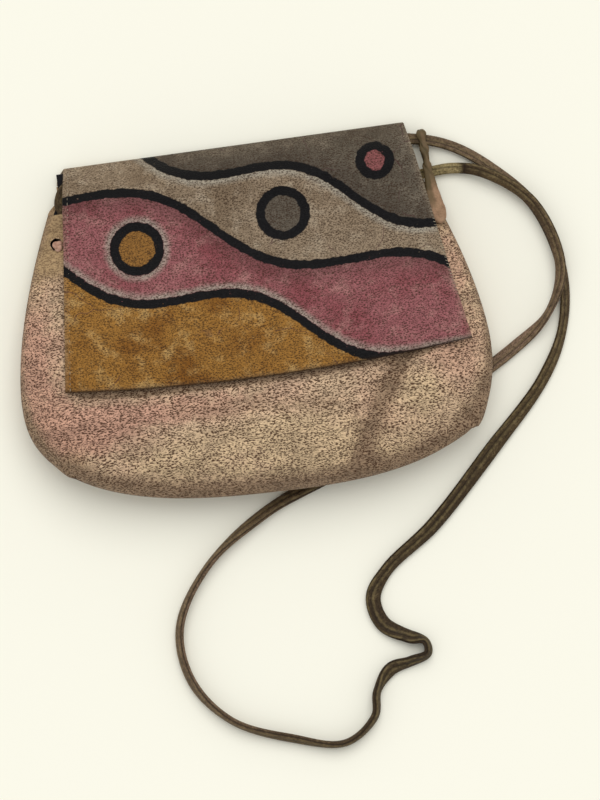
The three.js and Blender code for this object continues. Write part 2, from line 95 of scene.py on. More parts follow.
class Recipe:
    def __init__(self, tree):
        self.tree = tree

    def add(self, kind, inputs=None, **settings):
        made = self.tree.nodes.new(kind)
        for name, value in settings.items():
            setattr(made, name, value)
        for name, value in (inputs or {}).items():
            self.feed(made.inputs[name], value)
        return made

    def feed(self, socket, value):
        if isinstance(value, bpy.types.NodeSocket):
            self.tree.links.new(value, socket)
        else:
            socket.default_value = value

    def sum(self, operation, a, b=0.0, c=0.0):
        made = self.add("ShaderNodeMath", {0: a, 1: b, 2: c}, operation=operation)
        return made.outputs[0]

    def move(self, operation, a, b=(0, 0, 0)):
        made = self.add("ShaderNodeVectorMath", {0: a, 1: b}, operation=operation)
        return made.outputs[0]

    def grow(self, place, factor):
        made = self.add("ShaderNodeVectorMath", {0: place, "Scale": factor}, operation="SCALE")
        return made.outputs[0]

    def cloud(self, place, size, detail=2.0, roughness=0.5, output="Fac"):
        """Smooth random values, 0 to 1, in lumps of about size in the units of place."""
        values = {"Vector": place, "Scale": 1.0 / size, "Detail": detail, "Roughness": roughness}
        return self.add("ShaderNodeTexNoise", values).outputs[output]

    def cells(self, place, feature="F1"):
        return self.add("ShaderNodeTexVoronoi", {"Vector": place, "Scale": 1.0}, voronoi_dimensions="2D",
                        feature=feature)

    def step(self, value, low, high, start=0.0, end=1.0, kind="SMOOTHSTEP"):
        """start where value is low, end where it is high, and even in between."""
        values = {"Value": value, "From Min": low, "From Max": high, "To Min": start, "To Max": end}
        return self.add("ShaderNodeMapRange", values, interpolation_type=kind).outputs[0]

    def blend(self, share, a, b, kind="MIX"):
        made = self.add("ShaderNodeMix", {0: share, 6: a, 7: b}, data_type="RGBA", blend_type=kind)
        return made.outputs[2]

    def shade(self, base, light):
        """base, made lighter or darker by a number."""
        grey = self.add("ShaderNodeCombineColor", {0: light, 1: light, 2: light}).outputs[0]
        return self.blend(1.0, base, grey, "MULTIPLY")

    def stain(self, base, mask, amount, code):
        """base, with a share of another colour where mask is 1."""
        return self.blend(self.sum("MULTIPLY", mask, amount), base, colour(code))

    def flat_map(self, name="grain"):
        return self.add("ShaderNodeUVMap", uv_map=name).outputs["UV"]

    def painted(self, name):
        """A mask that was computed for each point of the mesh."""
        return self.add("ShaderNodeAttribute", attribute_name=name).outputs["Fac"]

    def solid(self, geometry, material):
        """Real geometry in a material, for the end of a tree of Geometry Nodes."""
        real = self.add("GeometryNodeRealizeInstances", {"Geometry": geometry}).outputs[0]
        return self.add("GeometryNodeSetMaterial", {"Geometry": real, "Material": material}).outputs[0]

    def group(self, tree, inputs):
        return self.add("ShaderNodeGroup", inputs, node_tree=tree)


def new_group(name, inputs, outputs, kind="Shader"):
    """An empty group of nodes with named sockets, its recipe and its two end nodes."""
    tree = bpy.data.node_groups.new(name, kind + "NodeTree")
    for label, kind, value in inputs:
        socket = tree.interface.new_socket(label, in_out="INPUT", socket_type="NodeSocket" + kind)
        if value is not None:
            socket.default_value = value
    for label, kind in outputs:
        tree.interface.new_socket(label, in_out="OUTPUT", socket_type="NodeSocket" + kind)
    recipe = Recipe(tree)
    return tree, recipe, recipe.add("NodeGroupInput").outputs, recipe.add("NodeGroupOutput").inputs


def new_material(name):
    """A material with an empty Principled shader, its recipe and the shader's node."""
    material = bpy.data.materials.new(name)
    material.use_nodes = True
    recipe = Recipe(material.node_tree)
    return material, recipe, material.node_tree.nodes["Principled BSDF"]


# %% [markdown]
# The floor is a plain cream board. The lamps together light a level white sheet at strength 1, so a
# colour renders about as it is written: a little over half comes from all round, and the rest from one
# broad soft lamp above the top of the picture, which shades the bag's rounded sides.

# %% Floor and light
cream = colour("#faf8e9")
fill_level = 0.63
lamp_level = 0.39
lamp_lean = math.radians(30)
lamp_turn = math.radians(-12)

board = bpy.data.meshes.new("floor")
reach = 3.0
floor_clearance = 0.0002
corners = [(-reach, -reach, 0), (reach, -reach, 0), (reach, reach, 0), (-reach, reach, 0)]
board.from_pydata(corners, [], [(0, 1, 2, 3)])
floor = bpy.data.objects.new("floor", board)
floor.location = (0, 0, -floor_clearance)
scene.collection.objects.link(floor)

board_material, recipe, shader = new_material("floor_board")
recipe.feed(shader.inputs["Base Color"], cream)
recipe.feed(shader.inputs["Roughness"], 0.9)
recipe.feed(shader.inputs["Specular IOR Level"], 0.0)
board.materials.append(board_material)

world = bpy.data.worlds.new("studio")
scene.world = world
world.use_nodes = True
sky = Recipe(world.node_tree)
background = world.node_tree.nodes["Background"]
seen = sky.add("ShaderNodeLightPath").outputs["Is Camera Ray"]
sky.feed(background.inputs["Color"], sky.blend(seen, (1, 1, 1, 1), cream))
sky.feed(background.inputs["Strength"], sky.step(seen, 0.0, 1.0, fill_level, 1.0, "LINEAR"))

lamp_data = bpy.data.lights.new("soft_lamp", "SUN")
lamp_data.angle = math.radians(50)
lamp_data.energy = lamp_level * math.pi / math.cos(lamp_lean)
lamp = bpy.data.objects.new("soft_lamp", lamp_data)
lamp.rotation_euler = (-lamp_lean, 0, lamp_turn)
scene.collection.objects.link(lamp)
print("floor and light made")

# %% [markdown]
# ## Shapes
# A sheet of leather is two grids of points, an outer and an inner face, joined round the border. Where
# the two faces come together at an edge, their points are merged, which gives the edge its round form.

# %% Numbers that flow


def smooth(t):
    t = np.clip(t, 0.0, 1.0)
    return t * t * (3 - 2 * t)


def mix(a, b, t):
    return a + (b - a) * t


def bump_at(offset, width):
    """1 at no offset, falling away over width to either side."""
    return np.exp(-(offset / width) ** 2)


def round_edge(distance, thickness):
    """How much of its thickness a rounded edge has at a distance inside it."""
    t = np.clip(distance / thickness, 0.0, 1.0)
    return np.sqrt(1 - (1 - t) ** 2)


def hills(x, y, size, seed):
    """Smooth random hills between -1 and 1, about size apart. The same seed gives the same hills."""
    cells = 96
    lattice = np.random.default_rng(seed).uniform(-1, 1, (cells, cells))
    gx = np.asarray(x) / size + cells / 2
    gy = np.asarray(y) / size + cells / 2
    ix = np.floor(gx).astype(int)
    iy = np.floor(gy).astype(int)
    fx = smooth(gx - ix)
    fy = smooth(gy - iy)
    corner = lambda i, j: lattice[(iy + j) % cells, (ix + i) % cells]
    return mix(mix(corner(0, 0), corner(1, 0), fx), mix(corner(0, 1), corner(1, 1), fx), fy)


def steps_with_edges(length, step, edge, both=True):
    """Positions from 0 to length, close together at the rounded edges."""
    rim = edge * np.array([0, 0.06, 0.22, 0.5, 1.0])
    inner_end = length - edge if both else length
    count = max(2, int(round((inner_end - edge) / step)))
    middle = np.linspace(edge, inner_end, count + 1)[1:]
    parts = [rim, middle]
    if both:
        parts.append((length - rim)[::-1][1:])
    return np.concatenate(parts)


# %% From grids to a mesh


def grid_normals(points):
    down = np.gradient(points, axis=0)
    across = np.gradient(points, axis=1)
    normal = np.cross(down, across)
    length = np.linalg.norm(normal, axis=2, keepdims=True)
    return normal / np.maximum(length, 1e-9)


def add_object(name, mesh):
    made = bpy.data.objects.new(name, mesh)
    scene.collection.objects.link(made)
    return made


def grain_place(points):
    """Millimetres along each row from its middle, and down the middle column."""
    across = np.linalg.norm(np.diff(points, axis=1), axis=2)
    along = np.concatenate([np.zeros((points.shape[0], 1)), np.cumsum(across, axis=1)], axis=1)
    middle = points.shape[1] // 2
    along -= along[:, middle:middle + 1]
    down = np.linalg.norm(np.diff(points[:, middle], axis=0), axis=1)
    depth = np.concatenate([[0], np.cumsum(down)])
    return np.stack([along, np.repeat(-depth[:, None], points.shape[1], axis=1)], axis=2)


def add_mask(mesh, name, numbers):
    """A value for each point of a mesh."""
    mask = mesh.attributes.new(name, "FLOAT", "POINT")
    mask.data.foreach_set("value", np.asarray(numbers, np.float32).ravel())


def corner_points(mesh):
    """Which point each corner of each face is."""
    corner = np.zeros(len(mesh.loops), np.int32)
    mesh.loops.foreach_get("vertex_index", corner)
    return corner


def add_map(mesh, name, places):
    """A flat map, from a place in millimetres for each corner."""
    mesh.uv_layers.new(name=name).data.foreach_set("uv", (places * MM).astype(np.float32).ravel())


def chain(name, points, closed=False, **values):
    """A line of points, with a value of each name at every point."""
    mesh = bpy.data.meshes.new(name)
    edges = [(i, i + 1) for i in range(len(points) - 1)]
    if closed:
        edges.append((len(points) - 1, 0))
    mesh.from_pydata(points.tolist(), edges, [])
    for label, numbers in values.items():
        add_mask(mesh, label, numbers)
    return add_object(name, mesh)


def settle(piece):
    """Applies a piece's modifiers and leaves a plain mesh."""
    mesh = bpy.data.meshes.new_from_object(piece.evaluated_get(bpy.context.evaluated_depsgraph_get()))
    piece.modifiers.clear()
    old = piece.data
    piece.data = mesh
    bpy.data.meshes.remove(old)
    return mesh


def run_tree(piece, tree, values):
    """Runs a tree of Geometry Nodes on a piece with these inputs and keeps the result."""
    modifier = piece.modifiers.new(tree.name, "NODES")
    modifier.node_group = tree
    sockets = {s.name: s.identifier for s in tree.interface.items_tree if s.in_out == "INPUT"}
    for label, value in values.items():
        modifier[sockets[label]] = value
    return settle(piece)


merge_distance = 0.004


def sheet(name, outer, inner, materials, masks=None, places=None):
    """A closed sheet between two grids of the same size, in millimetres. Rows run down the bag and
    columns from left to right, as seen from outside."""
    rows, columns = outer.shape[:2]
    size = rows * columns
    index = np.arange(size).reshape(rows, columns)
    quads = [index[:-1, :-1], index[1:, :-1], index[1:, 1:], index[:-1, 1:]]
    face = np.stack(quads, axis=2).reshape(-1, 4)
    back = face[:, ::-1] + size
    ring = np.concatenate([index[0, :-1], index[:-1, -1], index[-1, :0:-1], index[:0:-1, 0]])
    after = np.roll(ring, -1)
    wall = np.stack([ring, after, after + size, ring + size], axis=1)
    points = np.concatenate([outer.reshape(-1, 3), inner.reshape(-1, 3)]) * MM
    faces = np.concatenate([face, back, wall])

    mesh = bpy.data.meshes.new(name)
    mesh.from_pydata(points.tolist(), [], faces.tolist())
    for material in materials:
        mesh.materials.append(material)
    sides = np.zeros(len(faces), np.int32)
    if len(materials) > 1:
        sides[len(face):len(face) + len(back)] = 1
    mesh.polygons.foreach_set("material_index", sides)
    corner = corner_points(mesh)
    for label, place in {"grain": grain_place(outer), **(places or {})}.items():
        add_map(mesh, label, np.concatenate([place.reshape(-1, 2)] * 2)[corner])
    for label, mask in (masks or {}).items():
        add_mask(mesh, label, np.concatenate([mask.ravel()] * 2))

    work = bmesh.new()
    work.from_mesh(mesh)
    bmesh.ops.remove_doubles(work, verts=work.verts, dist=merge_distance * MM)
    bmesh.ops.dissolve_degenerate(work, edges=work.edges, dist=merge_distance * MM)
    work.to_mesh(mesh)
    open_edges = sum(1 for e in work.edges if len(e.link_faces) != 2)
    work.free()
    mesh.shade_smooth()
    print(name, "has", len(mesh.polygons), "faces and", open_edges, "open edges")
    return add_object(name, mesh)


# %% [markdown]
# ## The pouch's outline and depth
# The pouch is two panels sewn round the sides and bottom. These sizes and rules are the ones that the
# solid model was made from, so each skin lies just where its solid does.

# %% Outline of the pouch
pouch_width = 251.0
pouch_height = 186.0
mouth_width = 197.0
fold_width = 184.0
narrowing_length = 9.0
widest_above = 65.0
mouth_below = 24.0
shoulder_length = 14.0
corner_power = 2.55
taper_power = 1.6
pouch_depth = 46.0
mouth_depth = 22.0
crown_below_widest = 7.0
side_seam_height = 18.0
mouth_seam_height = 9.0
front_rounding = 42.0
back_rounding = 60.0
leather = 1.4
lining = 0.5
seam_gap = 0.3
lining_gap = 0.8
hem_depth = 9.0

fold_y = pouch_height / 2
bottom_y = -pouch_height / 2
widest_y = bottom_y + widest_above
mouth_y = fold_y - mouth_below


def half_width(y, inset=0.0):
    """Half the pouch's width at a height, for a shell that lies inset inside its outer face."""
    y = np.asarray(y, float)
    half = pouch_width / 2 - inset
    mouth_half = mouth_width / 2 - inset
    drop = np.clip((widest_y - y) / (widest_y - bottom_y - inset), 0, 1)
    lower = half * (1 - drop ** corner_power) ** (1 / corner_power)
    share = np.clip((y - widest_y) / (mouth_y - widest_y), 0, None)
    upper = half - (half - mouth_half) * share ** taper_power
    shoulder = mouth_half - (mouth_width - fold_width) / 2 * smooth((y - mouth_y) / narrowing_length)
    return np.where(y > mouth_y, shoulder, np.where(y > widest_y, upper, lower))


edge_count = 60
upper_y = mix(mouth_y, widest_y, np.arange(edge_count + 1) / edge_count)
lower_y = widest_y + (bottom_y - widest_y) * np.sin(np.arange(1, edge_count + 1) / edge_count * math.pi / 2)
edge_y = np.concatenate([upper_y, lower_y])
edge_x = half_width(edge_y)
straight_on = 12
edge_x = np.concatenate([[2 * edge_x[0] - edge_x[straight_on]], edge_x])
edge_y = np.concatenate([[2 * mouth_y - edge_y[straight_on]], edge_y])


def distance_to_edge(x, y):
    """How far a point is from the sewn edge, which is carried straight on past the mouth."""
    px = np.abs(np.asarray(x, float))
    py = np.asarray(y, float)
    best = np.full(px.shape, 1e9)
    for i in range(1, len(edge_x)):
        ax, ay = edge_x[i - 1], edge_y[i - 1]
        dx, dy = edge_x[i] - ax, edge_y[i] - ay
        t = np.clip(((px - ax) * dx + (py - ay) * dy) / (dx * dx + dy * dy), 0, 1)
        best = np.minimum(best, np.hypot(px - ax - t * dx, py - ay - t * dy))
    return best


def seam_height(y):
    return mix(side_seam_height, mouth_seam_height, smooth(y / mouth_y))


def crown_height(y):
    reach_down = mouth_y - widest_y + crown_below_widest
    return mix(mouth_depth, pouch_depth, smooth((mouth_y - y) / reach_down))


def front_height(x, y, inset=0.0):
    seam = seam_height(y)
    share = round_edge(distance_to_edge(x, y) - inset, front_rounding)
    return seam + (crown_height(y) - inset - seam) * share


def back_height(x, y, raised=0.0):
    rim = mix(seam_height(y) - seam_gap, leather, smooth((y - mouth_y) / shoulder_length))
    t = np.minimum(1, distance_to_edge(x, y) / back_rounding)
    return leather + (rim - leather) * (1 - t) ** 2 + raised


def row_y(row, inset=0.0):
    """Rows count from 0 at the mouth through 1 at the widest line to 2 at the bottom point."""
    upper = mix(mouth_y, widest_y, row)
    lower = widest_y - (widest_y - bottom_y - inset) * np.sin((np.clip(row, 1, 2) - 1) * math.pi / 2)
    return np.where(row <= 1, upper, lower)


def row_at(y):
    return (mouth_y - y) / (mouth_y - widest_y)


lean_centre = 20.0
lean_slope = 0.03
lean_bend = 0.0001
lean_reach = 40.0


def leaned(points):
    """The bottom hangs lower on the right than on the left."""
    out = points[..., 0] - lean_centre
    moved = points.copy()
    fall = lean_slope * out + lean_bend * out ** 2
    moved[..., 1] -= fall * smooth((widest_y - points[..., 1]) / lean_reach)
    return moved


# %% [markdown]
# ## How the soft front has sunk and creased
# Nothing fills the pouch, so its front has settled into low hills with one deep diagonal crease at the
# lower right, small darts in the lower corners and fine puckers where it is gathered into the seam.
# Each of these is one short term in a sum of heights.

# %% Creases of the front panel


def along_line(x, y, start, end):
    """Signed offset from a line, and the share of the way along it."""
    dx, dy = end[0] - start[0], end[1] - start[1]
    length = math.hypot(dx, dy)
    share = ((x - start[0]) * dx + (y - start[1]) * dy) / length ** 2
    offset = ((x - start[0]) * dy - (y - start[1]) * dx) / length
    return offset, share


def between(share, soft=0.25):
    return smooth((share + soft) / soft) * smooth((1 + soft - share) / soft)


valley_line = ((80, -24), (50, -76))
sag_line = ((-44, -43), (34, -49))
left_dart = ((-104.5, -53.0), (-105.8, -72.0))
right_dart = ((103.0, -50.0), (109.5, -68.5))
flap_left, flap_right, flap_low = -98.0, 112.0, -31.0
wrinkle_pitch = 3.4
gather_pitch = 7.3
gather_radius = 118.0


def under_flap(x, y):
    """1 where the flap presses on the front, 0 where it is free."""
    inside = np.minimum(np.minimum(x - flap_left, flap_right - x), y - flap_low)
    return smooth(inside / 9)


def front_relief(x, y, edge):
    """Height added along the surface, in millimetres."""
    free = 1 - 0.85 * under_flap(x, y)
    settled = 1.1 * hills(x, y * 1.25, 34, 3) + 0.55 * hills(x + 0.6 * y, y, 15, 5)
    offset, share = along_line(x, y, *valley_line)
    here = between(share)
    bent = offset + 1.6 * hills(x, y, 18, 8)
    valley = here * (1.5 * bump_at(bent - 10, 6.5) + 1.6 * bump_at(bent + 11, 7) - 3.0 * bump_at(bent, 7.0))
    sag_offset, sag_share = along_line(x, y, *sag_line)
    sag_bent = sag_offset + 1.5 * hills(x, y, 16, 41)
    valley = valley + between(sag_share) * (0.7 * bump_at(sag_bent - 8, 6) - 1.5 * bump_at(sag_bent, 6))
    wrinkle_phase = 2 * math.pi * (bent + 1.2 * hills(x, y, 9, 9)) / wrinkle_pitch
    wrinkle = 0.5 * here * bump_at(bent - 1, 14) * np.sin(wrinkle_phase)
    fine = 0.16 * hills(x * 0.7, y * 1.9, 3.4, 21) * smooth((edge - 2) / 6)
    gather_at = np.arctan2(y - 10, x) * gather_radius + 1.6 * hills(x, y, 11, 13)
    gathers = 0.34 * np.sin(gather_at * 2 * math.pi / gather_pitch) * bump_at(edge - 5, 5)
    gathers = gathers * smooth((20 - y) / 40) * (0.55 + 0.45 * hills(x, y, 13, 31))
    darts = 0
    for start, end in (left_dart, right_dart):
        dart_offset, dart_share = along_line(x, y, start, end)
        at_dart = between(dart_share, 0.3)
        darts = darts + at_dart * (0.8 * bump_at(dart_offset - 2.8, 2.2) - 1.3 * bump_at(dart_offset, 1.15))
    ears = smooth((np.abs(x) - 78) / 8) * smooth((y - 28) / 14)
    ear_creases = 0.28 * ears * hills(x * 0.35, y * 1.6 + 0.25 * x, 5.2, 17)
    flat = mix(1.0, 0.25, smooth((y - 30) / 25))
    total = (settled * flat + fine) * free + valley + wrinkle + gathers + darts + ear_creases
    past_hem = y - (mouth_y - hem_depth)
    hem_line = -0.4 * bump_at(past_hem + 0.2, 0.7) + 0.2 * bump_at(past_hem - 2, 1.6)
    return total * smooth(edge / 3.0) + hem_line * smooth(edge / 1.5)


print("valley deepest about", round(float(front_relief(np.array(64.0), np.array(-50.0), 30.0)), 1), "mm")

# %% [markdown]
# ## Leather materials
# Two things make this leather: its pores, small dark pits that lie in wavy rows, and its colour, which
# drifts between pink, tan and olive. The pores are random cells, stretched and bent by slow noise. One
# group holds them for the grained leathers of the pouch, flap and strap, with each leather's own sizes.

# %% Pores


def make_pores_group():
    inputs = [
        ("Place", "Vector", None),
        ("Spacing", "Float", 1.2),
        ("Stretch", "Float", 1.6),
        ("Pore Size", "Float", 0.25),
        ("Waviness", "Float", 3.0),
        ("Linked", "Float", 0.5),
    ]
    outputs = [("Pores", "Float"), ("Rows", "Float"), ("Height", "Float")]
    tree, made, given, result = new_group("leather_pores", inputs, outputs)
    place = made.grow(given["Place"], 1000.0)
    drift = made.cloud(place, 19.0, 2.0, output="Color")
    ripple = made.cloud(place, 6.5, 1.0, output="Color")
    bend = made.move("MULTIPLY", made.move("SUBTRACT", drift, (0.5, 0.5, 0.5)), (2.0, 2.0, 0.0))
    small_bend = made.move("MULTIPLY", made.move("SUBTRACT", ripple, (0.5, 0.5, 0.5)), (0.7, 0.8, 0.0))
    both = made.move("ADD", bend, small_bend)
    bent = made.move("ADD", place, made.grow(both, given["Waviness"]))
    wide = made.sum("MULTIPLY", given["Spacing"], given["Stretch"])
    cell_size = made.add("ShaderNodeCombineXYZ", {"X": wide, "Y": given["Spacing"], "Z": 1.0}).outputs[0]
    cell_place = made.move("DIVIDE", bent, cell_size)
    spots = made.cells(cell_place)
    chance = made.add("ShaderNodeSeparateColor", {"Color": spots.outputs["Color"]}).outputs["Red"]
    crowd = made.step(made.cloud(place, 9.0, 1.0), 0.3, 0.65, 0.72, 1.08)
    limit = made.sum("MULTIPLY", made.sum("MULTIPLY_ADD", chance, 1.0, 0.45), given["Pore Size"])
    limit = made.sum("MULTIPLY", limit, crowd)
    soft_start = made.sum("MULTIPLY", limit, 0.45)
    offset = made.move("SUBTRACT", cell_place, spots.outputs["Position"])
    slim = made.move("MULTIPLY", offset, (1.0, 1.5, 0.0))
    away = made.add("ShaderNodeVectorMath", {0: slim}, operation="LENGTH").outputs["Value"]
    slits = made.step(away, soft_start, limit, 1.0, 0.0)
    fine_place = made.move("ADD", made.move("MULTIPLY", cell_place, (2.7, 1.8, 1.0)), (3.7, 9.1, 0.0))
    dots = made.step(made.cells(fine_place).outputs["Distance"], 0.12, 0.32, 0.22, 0.0)
    pores = made.sum("MAXIMUM", slits, dots)
    row_place = made.move("MULTIPLY", cell_place, (0.52, 0.8, 1.0))
    lines = made.cells(made.move("ADD", row_place, (7.3, 2.1, 0.0)), "DISTANCE_TO_EDGE")
    thin = made.step(lines.outputs["Distance"], 0.01, 0.105, 1.0, 0.0)
    broken = made.step(made.cloud(place, 3.4, 2.0), 0.4, 0.58)
    rows = made.sum("MULTIPLY", made.sum("MULTIPLY", thin, broken), given["Linked"])
    deep = made.sum("MAXIMUM", pores, made.sum("MULTIPLY", rows, 0.7))
    pebble = made.step(spots.outputs["Distance"], 0.0, 0.75)
    height = made.sum("SUBTRACT", made.sum("MULTIPLY", pebble, 0.45), deep)
    made.feed(result["Pores"], pores)
    made.feed(result["Rows"], rows)
    made.feed(result["Height"], height)
    return tree


pores_group = make_pores_group()


def pores_on(made, place, spacing, stretch, size, waviness, linked):
    """A mask of the dark pores, and their height."""
    values = {"Place": place, "Spacing": spacing, "Stretch": stretch, "Pore Size": size, "Waviness": waviness,
              "Linked": linked}
    found = made.group(pores_group, values).outputs
    return made.sum("MAXIMUM", found["Pores"], found["Rows"]), found["Height"]


def surface(made, shader, base, roughness, specular=0.5):
    made.feed(shader.inputs["Base Color"], base)
    made.feed(shader.inputs["Roughness"], roughness)
    made.feed(shader.inputs["Specular IOR Level"], specular)

# %% [markdown]
# ### The pouch's own leather
# Its colour is worked out from four masks that were computed with the shape, for the places where the
# real leather is pinker, more golden or more olive, and where it is darker from wear and painted shade,
# with noise to break up their edges.

# %% Pouch leather


tooth_size = 0.00035
tooth_depth = 0.00004


def leather_bump(made, shader, height, depth, fine_place):
    """Pores and the leather's fine tooth as a bump."""
    tooth = made.cloud(fine_place, tooth_size)
    first = made.add("ShaderNodeBump", {"Strength": 1.0, "Distance": tooth_depth, "Height": tooth})
    second = made.add("ShaderNodeBump", {"Strength": 1.0, "Distance": depth, "Height": height,
                                         "Normal": first.outputs["Normal"]})
    made.feed(shader.inputs["Normal"], second.outputs["Normal"])


def woven_bump(made, shader, height, depth, strength):
    bump = made.add("ShaderNodeBump", {"Strength": strength, "Distance": depth, "Height": height})
    made.feed(shader.inputs["Normal"], bump.outputs["Normal"])


def make_pouch_leather():
    material, made, shader = new_material("pouch_leather")
    place = made.flat_map()
    pores, height = pores_on(made, place, 1.06, 1.6, 0.46, 3.6, 1.1)
    slow = made.cloud(place, 0.030, 3.0)
    quick = made.cloud(place, 0.0075, 3.0, 0.6)
    fleck = made.cloud(place, 0.0016, 2.0, 0.6)

    def mask(name, noise, spread):
        shift = made.sum("SUBTRACT", noise, 0.5)
        return made.step(made.sum("MULTIPLY_ADD", shift, spread, made.painted(name)), 0.15, 0.85)

    base = made.blend(made.step(slow, 0.35, 0.65), colour("#ceb190"), colour("#ccaa8d"))
    base = made.blend(mask("pink", quick, 0.9), base, colour("#ca9d85"))
    base = made.blend(mask("golden", quick, 1.1), base, colour("#d4b892"))
    base = made.blend(mask("olive", quick, 0.5), base, colour("#a58a66"))
    # Darker from wear, and painted shade in the creases, near the sewn edges and under the flap's lower edge.
    base = made.blend(mask("worn", quick, 0.6), base, colour("#9a8066"))
    light = made.step(fleck, 0.3, 0.7, 0.82, 1.17)
    base = made.shade(base, light)
    # Long wavy blotches of painted shade, as of shallow folds lying across the front.
    lying = made.move("MULTIPLY", place, (0.4, 1.5, 1.0))
    painted_fold_shade = made.step(made.cloud(lying, 0.011, 2.0), 0.36, 0.66, 1.1, 0.86)
    base = made.shade(base, painted_fold_shade)
    smoother = made.step(made.painted("olive"), 0.3, 0.9, 1.0, 0.5)
    dark = made.sum("MULTIPLY", pores, smoother)
    base = made.stain(base, dark, 0.94, "#4b2f1d")
    surface(made, shader, base, made.step(dark, 0.0, 1.0, 0.58, 0.8), 0.18)
    leather_bump(made, shader, made.sum("MULTIPLY", height, smoother), 0.00034, place)
    return material


pouch_leather = make_pouch_leather()

# %% [markdown]
# ### Black lining
# A plain woven cotton: two sets of fine waves at right angles, with a little fading.

# %% Lining fabric


def make_lining_fabric():
    material, made, shader = new_material("lining_fabric")
    place = made.flat_map()
    across = made.add("ShaderNodeSeparateXYZ", {"Vector": made.grow(place, 2 * math.pi / 0.0007)}).outputs
    warp = made.sum("SINE", across["X"])
    weft = made.sum("SINE", across["Y"])
    weave = made.sum("MULTIPLY", warp, weft)
    fade = made.cloud(place, 0.012, 3.0)
    base = made.blend(made.step(fade, 0.35, 0.7), colour("#121113"), colour("#1f1d20"))
    base = made.blend(made.step(weave, -1.0, 1.0, 0.0, 0.35), base, colour("#2a282b"))
    surface(made, shader, base, made.step(fade, 0.3, 0.7, 0.82, 0.95), 0.2)
    made.feed(shader.inputs["Sheen Weight"], 0.15)
    woven_bump(made, shader, weave, 0.00008, 0.6)
    return material


lining_fabric = make_lining_fabric()

# %% [markdown]
# ## Front panel
# The mouth's edge is turned in and doubled, so the leather is twice as thick down to the hem line. The
# rows are closest together at that rounded edge, and the columns at the sides, where the surface turns
# down to the seam.

# %% Front panel


def across_shares(columns):
    return np.sin((np.arange(columns + 1) / columns - 0.5) * math.pi)


def front_points(rows, shares, insets):
    """Points of a shell of the front: one row number, inset and height for each row of the grid."""
    rows = rows[:, None]
    insets = insets[:, None]
    y = row_y(rows, insets)
    x = half_width(y, insets) * shares[None, :]
    y = np.broadcast_to(y, x.shape)
    z = front_height(x, y, np.broadcast_to(insets, x.shape))
    rim = np.abs(shares) > 1 - 1e-9
    z = np.where(rim[None, :], seam_height(y), z)
    return np.stack([x, y, z], axis=2)


def corner_notch(x, y):
    """The outline swells above each dart and steps in a little below it."""
    change = 0
    for (_, end), swell, step_in, reach in ((left_dart, 1.0, -0.6, 6), (right_dart, 3.2, 1.2, 12)):
        near = np.hypot(x - end[0], y - end[1])
        change = change + np.where(y > end[1], swell, step_in) * bump_at(near, reach)
    return change


def seam_groove(points, amount=0.9, reach_up=2.2):
    """Pulls a panel in where it meets the other one."""
    y = points[..., 1]
    above = np.abs(points[..., 2] - seam_height(y))
    pull = amount * (1 - smooth(above / reach_up)) * smooth(distance_to_edge(0, y) / 4)
    radial = points[..., :2] - np.array([0.0, -20.0])
    length = np.linalg.norm(radial, axis=2, keepdims=True)
    near = smooth((6 - distance_to_edge(points[..., 0], y)) / 4)
    out = points.copy()
    change = corner_notch(points[..., 0], y) * near - pull
    out[..., :2] += radial / np.maximum(length, 1e-6) * change[..., None]
    return out


mouth_half_thickness = leather
top_rows = row_at(mouth_y - mouth_half_thickness * np.array([0, 0.06, 0.22, 0.5, 1.0]))
hem_rows = row_at(mouth_y - np.array([2.2, 3.2, 4.2, 5.2, 6.2, 7.2, 8.0, 8.5, 8.8, 9.1, 9.4, 9.7, 10.1]))
upper_rows = np.linspace(row_at(mouth_y - 11), 1, 84)
lower_rows = 1 + np.arange(1, 73) / 72
front_rows = np.concatenate([top_rows, hem_rows, upper_rows, lower_rows])
front_shares = across_shares(200)

from_mouth = mouth_y - row_y(front_rows)
doubled = 1 - smooth((from_mouth - hem_depth) / 0.8)
full = leather * (1 + doubled)
rounded = round_edge(from_mouth, mouth_half_thickness)
outer_inset = np.where(from_mouth < leather, leather * (1 - rounded), 0.0)
inner_inset = np.where(from_mouth < leather, leather * (1 + rounded), full)

front_outer = front_points(front_rows, front_shares, outer_inset)
front_inner = front_points(front_rows, front_shares, inner_inset)
x, y = front_outer[..., 0], front_outer[..., 1]
front_edge = distance_to_edge(x, y)
front_cover = front_points(front_rows, front_shares, 0 * full)
lift = front_relief(x, y, front_edge)[..., None] * grid_normals(front_cover)
front_outer = leaned(seam_groove(front_outer + lift))
front_inner = leaned(front_inner + lift)

# %% [markdown]
# The masks for the leather's colour are placed as soft round patches.

# %% Where the leather is pinker, more golden and more olive, and where wear and painted shade darken it


def patches(x, y, spots):
    total = np.zeros_like(x)
    for px, py, width, height, amount in spots:
        total = total + amount * np.exp(-((x - px) / width) ** 2 - ((y - py) / height) ** 2)
    return np.clip(total, 0, 1)


pink_spots = [
    (-117, -5, 16, 42, 0.9), (-96, -50, 30, 18, 0.9), (-60, -42, 45, 9, 0.55), (100, -35, 20, 18, 0.5),
    (60, -60, 26, 20, 0.45), (112, 5, 14, 34, 0.45), (-20, -45, 40, 9, 0.4), (0, 30, 80, 40, 0.35),
]
golden_spots = [
    (15, -62, 42, 17, 0.85), (84, -48, 16, 15, 0.8), (-50, -70, 34, 14, 0.65), (60, -76, 40, 10, 0.5),
    (-112, 30, 8, 18, 0.5), (0, -84, 70, 8, 0.4), (108, -20, 10, 26, 0.3),
]
olive_spots = [(-100, -66, 12, 14, 1)]
foot_middle_y = -32.5
foot_rise = 5.5


